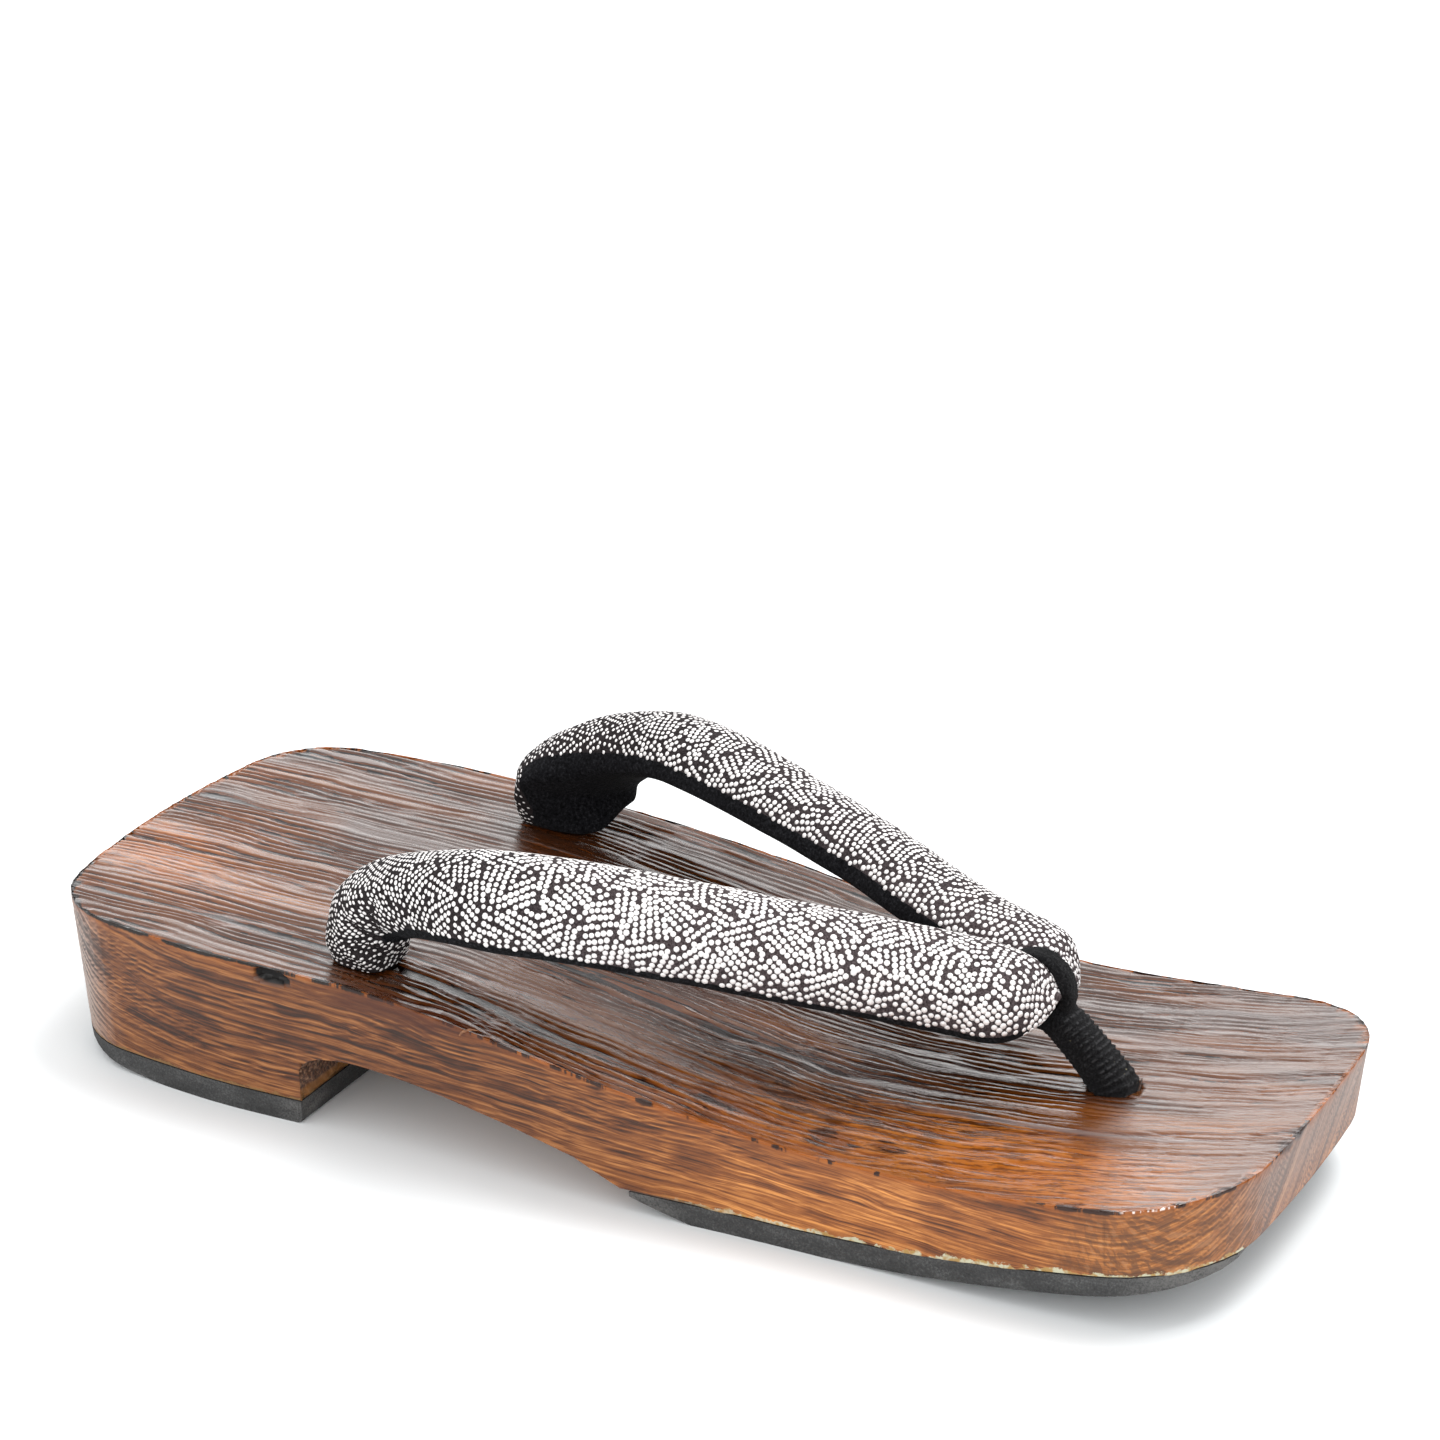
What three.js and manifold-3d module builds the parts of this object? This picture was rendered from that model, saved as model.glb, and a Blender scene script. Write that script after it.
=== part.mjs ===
// A geta sandal of the one-piece kind: a carved wooden platform with a heel block, a hollow arch and a
// rising toe, two rubber soles glued under it, and a padded thong strap held in three holes.
// Millimetres. +X is the toe, +Z is up, and the floor is z = 0 under the middle of the length.
// The sandal is the same on both sides of its centre line, so one half is described and mirrored in Y.

import * as THREE from "three";
import { mergeVertices } from "three/addons/utils/BufferGeometryUtils.js";
import Module from "manifold-3d";

const wasm = await Module();
wasm.setup();

// Platform
const LENGTH = 265;
const TIP = LENGTH / 2;
const FULL_WIDTH = 105.2;
const END_DRAFT = 3; // how far each end leans in from the deck down to the floor
const SIDE_DRAFT = 1.5; // the same for each long side
const BREAST_X = -64.6; // front face of the heel block
const ARCH_END_X = 9; // where the arch meets the forefoot
const HEEL_RUBBER = 5.2;
const FORE_RUBBER = 4.7;
const GLUE_GAP = 0.3; // clearance between parts that touch
const DRILL_TOP = 50; // a height above the deck, where every drilled hole starts

// Plan view of each end: a shallow arc across it, run into the long side by a round corner.
const HEEL_END = { sweep: 200, corner: 22, half: 50.1, flare: 7 };
const TOE_END = { sweep: 433, corner: 26, half: 49.6, flare: 4 };

// Plan view of a long side between the corners: y is the half width.
const SIDE = [
  { x: -98, y: 51.4 },
  { x: -82, y: 52.3 },
  { x: -52, y: 51.4 },
  { x: -22, y: 52.1 },
  { x: 5, y: 52.6 },
  { x: 32, y: 51.2 },
  { x: 60, y: 50.5 },
  { x: 88, y: 50.6 },
];

// Height of the deck along the sandal.
const DECK = [
  { x: -145, z: 34.5 },
  { x: -120, z: 35.0 },
  { x: -95, z: 34.7 },
  { x: -55, z: 34.0 },
  { x: -32, z: 32.3 },
  { x: -5, z: 28.8 },
  { x: 25, z: 24.4 },
  { x: 45, z: 22.3 },
  { x: 62, z: 21.9 },
  { x: 83, z: 22.7 },
  { x: 113, z: 25.7 },
  { x: 145, z: 32.2 },
];

// Height of the wood's underside: the sawn arch, then the forefoot rising to the toe.
const ARCH = [
  { x: BREAST_X, z: 12.2 },
  { x: -63, z: 14.4 },
  { x: -59.5, z: 15.9 },
  { x: -52, z: 16.7 },
  { x: -40, z: 16.0 },
  { x: -27, z: 14.3 },
  { x: -13, z: 11.9 },
  { x: -1, z: 9.3 },
];
const FOREFOOT = [
  { x: 46, z: FORE_RUBBER },
  { x: 65, z: 5.6 },
  { x: 81, z: 7.2 },
  { x: 99, z: 9.5 },
  { x: 115, z: 11.5 },
  { x: 145, z: 14.4 },
];

// Heights of the tread faces of the two rubber soles, flat on the floor where z is 0.
const HEEL_TREAD = [
  { x: -134, z: 4.9 },
  { x: -123, z: 3.5 },
  { x: -113, z: 1.4 },
  { x: -99, z: 0 },
];
const FORE_TREAD = [
  { x: 52, z: 0 },
  { x: 68, z: 1.0 },
  { x: 85, z: 3.1 },
  { x: 103, z: 5.6 },
  { x: 119, z: 8.5 },
  { x: 127, z: 10.7 },
];
const HEEL_EDGE = 1.2; // bevel on the front lower edge of the heel rubber
const FORE_FLAT_X = 24; // rear end of the flat part, behind it the rubber is skived towards the arch
const SKIVE = [
  { x: 17.5, z: 1.6 },
  { x: 11, z: 3.5 },
];
const FORE_RUBBER_TOE_X = 128.6;
const TOE_LIP = { low: 1.2, high: 0.3 }; // thin front edge of the rubber, below the wood's underside

// Strap holes
const REAR_HOLE = { x: -53.8, y: 38, radius: 4.9 };
const FRONT_HOLE = { x: 90.3, y: 0, radius: 5.3 };
const KNOT_RECESS_RADIUS = 10;

// One arm of the padded strap, from its front end back to the rear hole. A section is a padded dome on a
// flatter lining: x, y, z is its middle, wide its width from inner to outer edge, puff the dome's height
// and belly the lining's. swing turns the width from sideways (0) to forwards (90), dip lowers its outer
// edge, both in degrees.
const ARM = [
  { x: 79.2, y: 4.0, z: 41.6, wide: 4.5, puff: 2.0, belly: 1.2, swing: 0, dip: 16 },
  { x: 78.5, y: 4.5, z: 41.1, wide: 9, puff: 4.0, belly: 1.8, swing: 1, dip: 17 },
  { x: 76.7, y: 5.6, z: 40.4, wide: 14.6, puff: 6.6, belly: 2.3, swing: 3, dip: 18 },
  { x: 73.6, y: 6.8, z: 40.0, wide: 18.8, puff: 8.6, belly: 2.7, swing: 6, dip: 19 },
  { x: 68.5, y: 7.8, z: 40.3, wide: 21.3, puff: 9.7, belly: 3, swing: 11, dip: 21 },
  { x: 60, y: 9.2, z: 41.2, wide: 21.9, puff: 10.1, belly: 3, swing: 17, dip: 22.5 },
  { x: 48, y: 13.0, z: 43.0, wide: 22, puff: 10.2, belly: 3, swing: 19, dip: 24 },
  { x: 30, y: 20.4, z: 46.0, wide: 22, puff: 10.3, belly: 3, swing: 20, dip: 24 },
  { x: 8, y: 28.3, z: 49.2, wide: 22.6, puff: 10.5, belly: 3, swing: 19, dip: 21 },
  { x: -14, y: 36.0, z: 51.7, wide: 23.2, puff: 10.9, belly: 3, swing: 16, dip: 17 },
  { x: -28, y: 40.0, z: 51.9, wide: 23.4, puff: 10.9, belly: 3.2, swing: 10, dip: 16 },
  { x: -39, y: 41.0, z: 50.2, wide: 23.0, puff: 10.1, belly: 4.2, swing: 12, dip: 17 },
  { x: -46.8, y: 39.4, z: 47.5, wide: 22.6, puff: 9.8, belly: 5.4, swing: 25, dip: 20 },
  { x: -51.6, y: 37.2, z: 44.2, wide: 21.8, puff: 10.4, belly: 5.2, swing: 46, dip: 19 },
  { x: -53.6, y: 35.8, z: 40.6, wide: 19.4, puff: 10.8, belly: 4.4, swing: 65, dip: 11 },
  { x: -54.2, y: 35.8, z: 37.2, wide: 17.6, puff: 10, belly: 4, swing: 78, dip: 2 },
  { x: -54.3, y: 35.9, z: 35.2, wide: 16.4, puff: 8.8, belly: 3.8, swing: 86, dip: 0 },
];
const ARM_STEPS = 44;
const DOME_SIDES = 10;
const LINING_SIDES = 5;
const DOME_POWER = 0.9; // below 1 fills the dome out towards its edges
const LINING_POWER = 0.55; // the lining has near upright edges and a flat middle

// Where a strap end is tied under the wood: half width against height, from the top down.
const REAR_TAIL = [
  { r: 4.4, z: 37 },
  { r: 4.4, z: 15.7 },
  { r: 5.4, z: 15.2 },
  { r: 6.0, z: 14.5 },
  { r: 5.2, z: 13.3 },
  { r: 3.4, z: 12.5 },
];
const FRONT_TAIL = [
  { r: 3.9, z: 19 },
  { r: 3.9, z: 7.2 },
  { r: 6.6, z: 6.8 },
  { r: 7.4, z: 5.9 },
  { r: 5.8, z: 5.0 },
];

// The front thong on the centre line. Its loop goes round the joined fronts of the arms, its leg leans
// forward down to the front hole.
const LOOP = [
  { x: 78.2, z: 35.0 },
  { x: 80.4, z: 40.0 },
  { x: 79.2, z: 45.0 },
  { x: 74.8, z: 48.4 },
  { x: 69.8, z: 47.6 },
  { x: 67.6, z: 42.4 },
  { x: 68.8, z: 36.4 },
  { x: 73.4, z: 33.8 },
];
const LOOP_WIDE = 6.4;
const LOOP_THICK = 3;
const LEG = [
  { x: 75.2, z: 35.6, wide: 7.6, thick: 5.4 },
  { x: 79.2, z: 33.8, wide: 8.8, thick: 7.2 },
  { x: 83.2, z: 30.4, wide: 8.8, thick: 7.6 },
  { x: 87.1, z: 26.4, wide: 8.4, thick: 6.8 },
  { x: 89.6, z: 22.4, wide: 7.6, thick: 5.8 },
  { x: 90.3, z: 17.5, wide: 7.4, thick: 6.8 },
];
const LOOP_STEPS = 32;
const LEG_STEPS = 15;
const BAND_SIDES = 12;
const BAND_POWER = 0.6; // squares an oval off towards a flat band with round edges

// How finely each curve is divided.
const STEPS = {
  deck: 66,
  side: 27,
  end: 4,
  corner: 10,
  arch: 24,
  forefoot: 20,
  foreTread: 16,
  heelTread: 10,
};
const ROUND_SIDES = 24;
const SAME_POINT = 1e-4; // vertices closer than this are one

const MATERIALS = {
  wood: new THREE.MeshStandardMaterial({ color: 0x5e331c, roughness: 0.35, metalness: 0 }),
  rubber: new THREE.MeshStandardMaterial({ color: 0x2b2c2d, roughness: 0.85, metalness: 0 }),
  print: new THREE.MeshStandardMaterial({ color: 0xa8a29e, roughness: 0.75, metalness: 0 }),
  webbing: new THREE.MeshStandardMaterial({ color: 0x141414, roughness: 0.9, metalness: 0 }),
};

const radians = THREE.MathUtils.degToRad;

// A closed geometry as a solid that can be joined and cut.
function solid(geometry) {
  const bare = new THREE.BufferGeometry();
  bare.setAttribute("position", geometry.getAttribute("position"));
  bare.setIndex(geometry.getIndex());
  const merged = mergeVertices(bare, SAME_POINT);
  return new wasm.Manifold(
    new wasm.Mesh({
      numProp: 3,
      vertProperties: new Float32Array(merged.getAttribute("position").array),
      triVerts: new Uint32Array(merged.getIndex().array),
    }),
  );
}

// A solid as a named mesh.
function part(name, body, material) {
  const { vertProperties, triVerts } = body.getMesh();
  const geometry = new THREE.BufferGeometry();
  geometry.setAttribute("position", new THREE.BufferAttribute(vertProperties, 3));
  geometry.setIndex(new THREE.BufferAttribute(triVerts, 1));
  geometry.computeVertexNormals();
  const mesh = new THREE.Mesh(geometry, material);
  mesh.name = name;
  return mesh;
}

// Rings of equally many points joined into a closed tube: its ends are capped, or, for a loop, joined.
function loft(rings, isLoop = false) {
  const sides = rings[0].length;
  const positions = rings.flat().flatMap((p) => [p.x, p.y, p.z]);
  const index = [];
  const spans = isLoop ? rings.length : rings.length - 1;
  for (let i = 0; i < spans; i++) {
    const here = i * sides;
    const next = ((i + 1) % rings.length) * sides;
    for (let j = 0; j < sides; j++) {
      const k = (j + 1) % sides;
      index.push(here + j, here + k, next + k, here + j, next + k, next + j);
    }
  }
  if (!isLoop) {
    const last = (rings.length - 1) * sides;
    for (const [ring, start, turn] of [[rings[0], 0, 1], [rings.at(-1), last, 0]]) {
      const centre = new THREE.Vector3();
      ring.forEach((p) => centre.addScaledVector(p, 1 / sides));
      const middle = positions.length / 3;
      positions.push(centre.x, centre.y, centre.z);
      for (let j = 0; j < sides; j++) {
        const k = (j + 1) % sides;
        index.push(middle, start + (turn ? k : j), start + (turn ? j : k));
      }
    }
  }
  const geometry = new THREE.BufferGeometry();
  geometry.setAttribute("position", new THREE.Float32BufferAttribute(positions, 3));
  geometry.setIndex(index);
  return geometry;
}

// A smooth curve through three named columns of a table.
function columns(rows, [a, b, c], isLoop = false) {
  const points = rows.map((row) => new THREE.Vector3(row[a], row[b], c ? row[c] : 0));
  return new THREE.CatmullRomCurve3(points, isLoop, "catmullrom", 0.5);
}

// The x, z rows of a table as a smooth line of 2-D points.
function profile(rows, steps) {
  return new THREE.SplineCurve(rows.map((row) => new THREE.Vector2(row.x, row.z))).getPoints(steps);
}

const deckLine = profile(DECK, STEPS.deck);

function deckHeight(x) {
  const after = deckLine.findIndex((p) => p.x >= x);
  const [a, b] = [deckLine[after - 1], deckLine[after]];
  return a.y + ((b.y - a.y) * (x - a.x)) / (b.x - a.x);
}

// Half of one end in plan, from the centre line to where the long side starts. towards is -1 or 1 in x.
function endOutline({ sweep, corner, half, flare }, towards) {
  const cornerY = half - corner;
  const inner = sweep - corner;
  const reach = Math.sqrt(inner ** 2 - cornerY ** 2);
  const meet = Math.asin(cornerY / inner);
  const points = [];
  for (let i = 0; i <= STEPS.end; i++) {
    const a = (meet * i) / STEPS.end;
    points.push([TIP - sweep + sweep * Math.cos(a), sweep * Math.sin(a)]);
  }
  const last = radians(90 - flare);
  for (let i = 1; i <= STEPS.corner; i++) {
    const a = meet + ((last - meet) * i) / STEPS.corner;
    points.push([TIP - sweep + reach + corner * Math.cos(a), cornerY + corner * Math.sin(a)]);
  }
  return points.map(([x, y]) => new THREE.Vector2(towards * x, y));
}

// The outline of the deck in plan, counter-clockwise.
function outline() {
  const heel = endOutline(HEEL_END, -1);
  const toe = endOutline(TOE_END, 1);
  const joints = [heel.at(-1), ...SIDE.map((row) => new THREE.Vector2(row.x, row.y)), toe.at(-1)];
  const side = new THREE.SplineCurve(joints).getPoints(STEPS.side).slice(1, -1);
  const far = [...toe, ...side.reverse(), ...heel.reverse()];
  const near = far.slice(1, -1).reverse();
  return [...far, ...near.map((p) => new THREE.Vector2(p.x, -p.y))];
}

// The block that every part of the platform is sawn from: the outline leaning in from deck to floor.
function block() {
  const above = 1.3; // the block runs past the deck, which is cut later
  const below = -0.05;
  const scaleX = 1 - END_DRAFT / TIP;
  const scaleY = 1 - SIDE_DRAFT / (FULL_WIDTH / 2);
  const ring = (t) =>
    outline().map((p) => {
      const foot = new THREE.Vector3(p.x * scaleX, p.y * scaleY, 0);
      return foot.lerp(new THREE.Vector3(p.x, p.y, deckHeight(p.x)), t);
    });
  return solid(loft([ring(below), ring(above)]));
}

// A side view pushed through the whole width.
function sideView(points) {
  const depth = 1.2 * FULL_WIDTH;
  const shape = new THREE.Shape(points);
  const geometry = new THREE.ExtrudeGeometry(shape, { depth, bevelEnabled: false });
  geometry.rotateX(Math.PI / 2);
  geometry.translate(0, depth / 2, 0);
  return solid(geometry);
}

// An upright cutter or tail, from radius against height.
function turned(rows, { x, y }) {
  const points = rows.map((row) => new THREE.Vector2(row.r, row.z));
  const [top, bottom] = [rows[0], rows.at(-1)];
  const closed = [new THREE.Vector2(0, bottom.z), ...points.reverse(), new THREE.Vector2(0, top.z)];
  const geometry = new THREE.LatheGeometry(closed, ROUND_SIDES);
  geometry.rotateX(Math.PI / 2);
  geometry.translate(x, y, 0);
  return solid(geometry);
}

function drill(radius, at) {
  return turned([{ r: radius, z: DRILL_TOP }, { r: radius, z: -1 }], at);
}

const rearHoles = [-1, 1].map((side) => ({ x: REAR_HOLE.x, y: side * REAR_HOLE.y }));

// The joint between the forefoot's wood and rubber, moved up by lift.
function forefootLine(lift) {
  return profile(FOREFOOT, STEPS.forefoot).map((p) => new THREE.Vector2(p.x, p.y + lift));
}

function buildDai() {
  const lift = GLUE_GAP / 2;
  const heelFloor = HEEL_RUBBER + lift;
  const view = sideView([
    new THREE.Vector2(DECK[0].x, heelFloor),
    new THREE.Vector2(BREAST_X, heelFloor),
    ...profile(ARCH, STEPS.arch),
    new THREE.Vector2(ARCH_END_X, FORE_RUBBER + lift),
    ...forefootLine(lift),
    ...[...deckLine].reverse(),
  ]);
  let body = block().intersect(view);
  for (const at of rearHoles) {
    body = body.subtract(drill(REAR_HOLE.radius, at));
  }
  return body.subtract(drill(FRONT_HOLE.radius, FRONT_HOLE));
}

function buildHeelSole() {
  const top = HEEL_RUBBER - GLUE_GAP / 2;
  const view = sideView([
    ...profile(HEEL_TREAD, STEPS.heelTread),
    new THREE.Vector2(BREAST_X - HEEL_EDGE, 0),
    new THREE.Vector2(BREAST_X - 0.3 * HEEL_EDGE, 0.3 * HEEL_EDGE),
    new THREE.Vector2(BREAST_X, HEEL_EDGE),
    new THREE.Vector2(BREAST_X, top),
    new THREE.Vector2(HEEL_TREAD[0].x, top),
  ]);
  return block().intersect(view);
}

function buildForefootSole() {
  const under = forefootLine(-GLUE_GAP / 2);
  const top = under.filter((p) => p.x < FORE_RUBBER_TOE_X);
  const toeZ = under.find((p) => p.x >= FORE_RUBBER_TOE_X).y;
  const view = sideView([
    new THREE.Vector2(FORE_FLAT_X, 0),
    ...profile(FORE_TREAD, STEPS.foreTread),
    new THREE.Vector2(FORE_RUBBER_TOE_X, toeZ - TOE_LIP.low),
    new THREE.Vector2(FORE_RUBBER_TOE_X, toeZ - TOE_LIP.high),
    ...top.reverse(),
    new THREE.Vector2(SKIVE.at(-1).x, FORE_RUBBER - GLUE_GAP / 2),
    ...[...SKIVE].reverse().map((row) => new THREE.Vector2(row.x, row.z)),
  ]);
  return block().intersect(view).subtract(drill(KNOT_RECESS_RADIUS, FRONT_HOLE));
}

// The section of a strap arm: the padded dome from outer to inner edge, then the lining back again.
function armSection(wide, puff, belly) {
  const points = [];
  for (let i = 0; i < DOME_SIDES; i++) {
    const a = (Math.PI * i) / DOME_SIDES;
    points.push([(wide / 2) * Math.cos(a), puff * Math.sin(a) ** DOME_POWER]);
  }
  for (let i = 0; i < LINING_SIDES; i++) {
    const a = (Math.PI * i) / LINING_SIDES;
    points.push([(-wide / 2) * Math.cos(a), -belly * Math.sin(a) ** LINING_POWER]);
  }
  return points;
}

function buildArm(side) {
  const path = columns(ARM, ["x", "y", "z"]);
  const size = columns(ARM, ["wide", "puff", "belly"]);
  const turn = columns(ARM, ["swing", "dip"]);
  const rings = [];
  for (let i = 0; i <= ARM_STEPS; i++) {
    const t = i / ARM_STEPS;
    const centre = path.getPoint(t);
    const along = path.getTangent(t);
    const { x: wide, y: puff, z: belly } = size.getPoint(t);
    const { x: swing, y: dip } = turn.getPoint(t);
    const across = new THREE.Vector3(
      Math.sin(radians(swing)) * Math.cos(radians(dip)),
      Math.cos(radians(swing)) * Math.cos(radians(dip)),
      -Math.sin(radians(dip)),
    );
    const out = across.clone().cross(along).normalize();
    const ring = armSection(wide, puff, belly).map(([u, v]) => {
      const p = centre.clone().addScaledVector(across, u).addScaledVector(out, v);
      return p.setY(side * p.y);
    });
    rings.push(side > 0 ? ring.reverse() : ring);
  }
  return solid(loft(rings));
}

// An oval band section on the centre line: grow widens it on every side.
function bandRing(point, tangent, wide, thick, grow) {
  const normal = new THREE.Vector3(-tangent.z, 0, tangent.x);
  const ring = [];
  for (let i = 0; i < BAND_SIDES; i++) {
    const a = (2 * Math.PI * (i + 0.5)) / BAND_SIDES;
    const u = (wide / 2 + grow) * Math.sign(Math.cos(a)) * Math.abs(Math.cos(a)) ** BAND_POWER;
    const v = (thick / 2 + grow) * Math.sign(Math.sin(a)) * Math.abs(Math.sin(a)) ** BAND_POWER;
    ring.push(new THREE.Vector3(point.x + normal.x * v, u, point.z + normal.z * v));
  }
  return ring;
}

function buildThong(grow) {
  const loopPath = columns(LOOP.map((p) => ({ ...p, y: 0 })), ["x", "y", "z"], true);
  const loopRings = [];
  for (let i = 0; i < LOOP_STEPS; i++) {
    const t = i / LOOP_STEPS;
    loopRings.push(bandRing(loopPath.getPoint(t), loopPath.getTangent(t), LOOP_WIDE, LOOP_THICK, grow));
  }
  const legPath = columns(LEG.map((p) => ({ ...p, y: 0 })), ["x", "y", "z"]);
  const legSize = columns(LEG, ["wide", "thick"]);
  const legRings = [];
  for (let i = 0; i <= LEG_STEPS; i++) {
    const t = i / LEG_STEPS;
    const { x: wide, y: thick } = legSize.getPoint(t);
    legRings.push(bandRing(legPath.getPoint(t), legPath.getTangent(t), wide, thick, grow));
  }
  const tail = FRONT_TAIL.map(({ r, z }) => ({ r: r + grow, z }));
  return solid(loft(loopRings, true))
    .add(solid(loft(legRings)))
    .add(turned(tail, FRONT_HOLE));
}

function buildHanao() {
  let body = buildArm(1).add(buildArm(-1));
  for (const at of rearHoles) {
    body = body.add(turned(REAR_TAIL, at));
  }
  return body.subtract(buildThong(GLUE_GAP));
}

const geta = new THREE.Group();
geta.add(
  part("dai", buildDai(), MATERIALS.wood),
  part("heel_sole", buildHeelSole(), MATERIALS.rubber),
  part("forefoot_sole", buildForefootSole(), MATERIALS.rubber),
  part("hanao", buildHanao(), MATERIALS.print),
  part("maetsubo", buildThong(0), MATERIALS.webbing),
);

export default geta;
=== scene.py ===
"""A geta sandal: a carved and lacquered wooden platform, rubber soles, a dotted padded strap and its thong.

Lengths are in millimetres, turned into metres where a mesh is made. +X is the toe, +Z is up and the floor
is z = 0, as in the frame. The camera stands on the -Y side, which is called near.
"""

import itertools
import math

import bmesh
import bpy
import numpy as np
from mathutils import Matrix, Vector
from mathutils.bvhtree import BVHTree
from mathutils.kdtree import KDTree


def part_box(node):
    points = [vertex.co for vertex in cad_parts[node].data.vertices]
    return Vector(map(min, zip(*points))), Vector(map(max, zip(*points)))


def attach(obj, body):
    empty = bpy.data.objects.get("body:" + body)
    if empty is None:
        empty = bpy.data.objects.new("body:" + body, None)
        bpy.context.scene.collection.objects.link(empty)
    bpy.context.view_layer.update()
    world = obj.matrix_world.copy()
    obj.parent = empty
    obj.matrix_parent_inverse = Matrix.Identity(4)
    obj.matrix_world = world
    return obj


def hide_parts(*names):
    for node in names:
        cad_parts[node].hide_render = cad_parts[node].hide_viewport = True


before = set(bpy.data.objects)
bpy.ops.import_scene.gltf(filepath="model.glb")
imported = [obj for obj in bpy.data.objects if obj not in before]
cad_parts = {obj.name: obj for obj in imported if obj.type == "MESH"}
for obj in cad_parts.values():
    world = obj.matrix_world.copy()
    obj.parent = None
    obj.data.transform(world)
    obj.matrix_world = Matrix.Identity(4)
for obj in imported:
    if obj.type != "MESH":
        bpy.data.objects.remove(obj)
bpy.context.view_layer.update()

MM = 0.001
NEAR, FAR = -1, 1

# Wood
DECK_PITCH = 1.9  # from one ridge to the next, across the rings
SIDE_PITCH = 1.05
PITH = {"y": -120.0, "z": 88.0}  # the rings' centre, outside the block on the near side
DECK_RIDGE = 0.40
SIDE_RIDGE = 0.13
POCKET = {"x": -69.8, "z": 32.3, "long": 4.1, "high": 1.45, "deep": 2.4}  # half sizes of the knot hole
SLICE_ACROSS = 0.28
SLICE_ALONG = 3.0
SLICE_ENDS = 0.66
SLICE_UP = 0.54
CREASE_ROUND = 0.5

# Strap: the same sections as the frame's hanao, from the joined front end back to the rear hole.
ARM_COLUMNS = ("x", "y", "z", "wide", "puff", "belly", "swing", "dip")
ARM = np.array([
    (79.3, 4.0, 41.6, 2.2, 1.0, 0.7, 0, 16),
    (78.4, 4.5, 41.1, 9.6, 4.3, 1.9, 1, 17),
    (76.7, 5.6, 40.4, 14.6, 6.6, 2.3, 3, 18),
    (73.6, 6.8, 40.0, 18.8, 8.6, 2.7, 6, 19),
    (68.5, 7.8, 40.3, 21.3, 9.7, 3.0, 11, 21),
    (60.0, 9.2, 41.2, 21.9, 10.1, 3.0, 17, 22.5),
    (48.0, 13.0, 43.0, 22.0, 10.2, 3.0, 19, 24),
    (30.0, 20.4, 46.0, 22.0, 10.3, 3.0, 20, 24),
    (8.0, 28.3, 49.2, 22.6, 10.5, 3.0, 19, 21),
    (-14.0, 36.0, 51.7, 23.2, 10.9, 3.0, 16, 17),
    (-28.0, 40.0, 51.9, 23.4, 10.9, 3.2, 10, 16),
    (-39.0, 41.0, 50.2, 23.0, 10.1, 4.2, 12, 17),
    (-46.8, 39.4, 47.5, 22.6, 9.8, 5.4, 25, 20),
    (-51.6, 37.2, 44.2, 21.8, 10.4, 5.2, 46, 19),
    (-53.6, 35.8, 40.6, 19.4, 10.8, 4.4, 65, 11),
    (-54.2, 35.8, 37.2, 17.6, 10.0, 4.0, 78, 2),
    (-54.3, 35.9, 35.2, 16.4, 8.8, 3.8, 86, 0),
    (-54.3, 35.9, 34.25, 15.6, 8.2, 3.5, 90, 0),
])
DOME_POWER = 0.9
LINING_POWER = 0.55
REAR_HOLE = {"x": -53.8, "y": 38.0, "radius": 4.9}

# The front thong: a loop round the arms' front end, then a leg down to the front hole.
LOOP = np.array([
    (77.9, 35.0), (80.0, 39.6), (78.9, 44.2), (75.2, 47.1),
    (70.2, 46.4), (67.8, 42.0), (68.8, 36.4), (73.4, 33.8),
])
LOOP_WIDE, LOOP_THICK = 4.7, 2.8
LEG = np.array([  # x, z, wide, thick
    (75.2, 35.8, 7.2, 5.2),
    (79.4, 34.3, 8.2, 7.0),
    (83.5, 30.7, 8.4, 7.5),
    (87.5, 26.6, 8.8, 7.9),
    (90.3, 22.6, 9.5, 9.1),
    (90.6, 17.5, 9.8, 9.6),
])
STRAP_LENGTH = 160.0
FRONT_HOLE = {"x": 90.3, "y": 0.0, "radius": 5.3}

# Printed dots
DOT_ACROSS = 1.16
DOT_HIGH = 0.16
DOT_PITCH = 1.17  # along a row
ROW_PITCH = 1.38
NET = 8.6  # side of the print's triangles


# ---------------------------------------------------------------- numbers

def random_cell(seed, cells):
    """A fixed random number from 0 to 1 for each lattice cell."""
    mask = np.uint64(0xFFFFFFFF)
    h = np.full(cells[0].shape, (seed * 747796405 + 2891336453) % 2**32, np.uint64)
    for cell, factor in zip(cells, (2654435761, 2246822519, 3266489917)):
        h = (h ^ (cell.astype(np.int64).astype(np.uint64) * np.uint64(factor))) & mask
        h = ((h ^ (h >> np.uint64(15))) * np.uint64(2246822519)) & mask
        h = ((h ^ (h >> np.uint64(13))) * np.uint64(3266489917)) & mask
        h = h ^ (h >> np.uint64(16))
    return h.astype(float) / 2**32


def noise(seed, *coords):
    """Smooth noise from -1 to 1 with features one unit across."""
    coords = np.broadcast_arrays(*[np.asarray(c, float) for c in coords])
    base = [np.floor(c) for c in coords]
    part = [c - b for c, b in zip(coords, base)]
    part = [f * f * f * (f * (6 * f - 15) + 10) for f in part]
    total = np.zeros(coords[0].shape)
    for corner in itertools.product((0, 1), repeat=len(coords)):
        weight = 1.0
        for c, f in zip(corner, part):
            weight = weight * (f if c else 1 - f)
        total += weight * random_cell(seed, [b + c for b, c in zip(base, corner)])
    return 2 * total - 1


def smooth(low, high, value):
    t = np.clip((value - low) / (high - low), 0, 1)
    return t * t * (3 - 2 * t)


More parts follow.
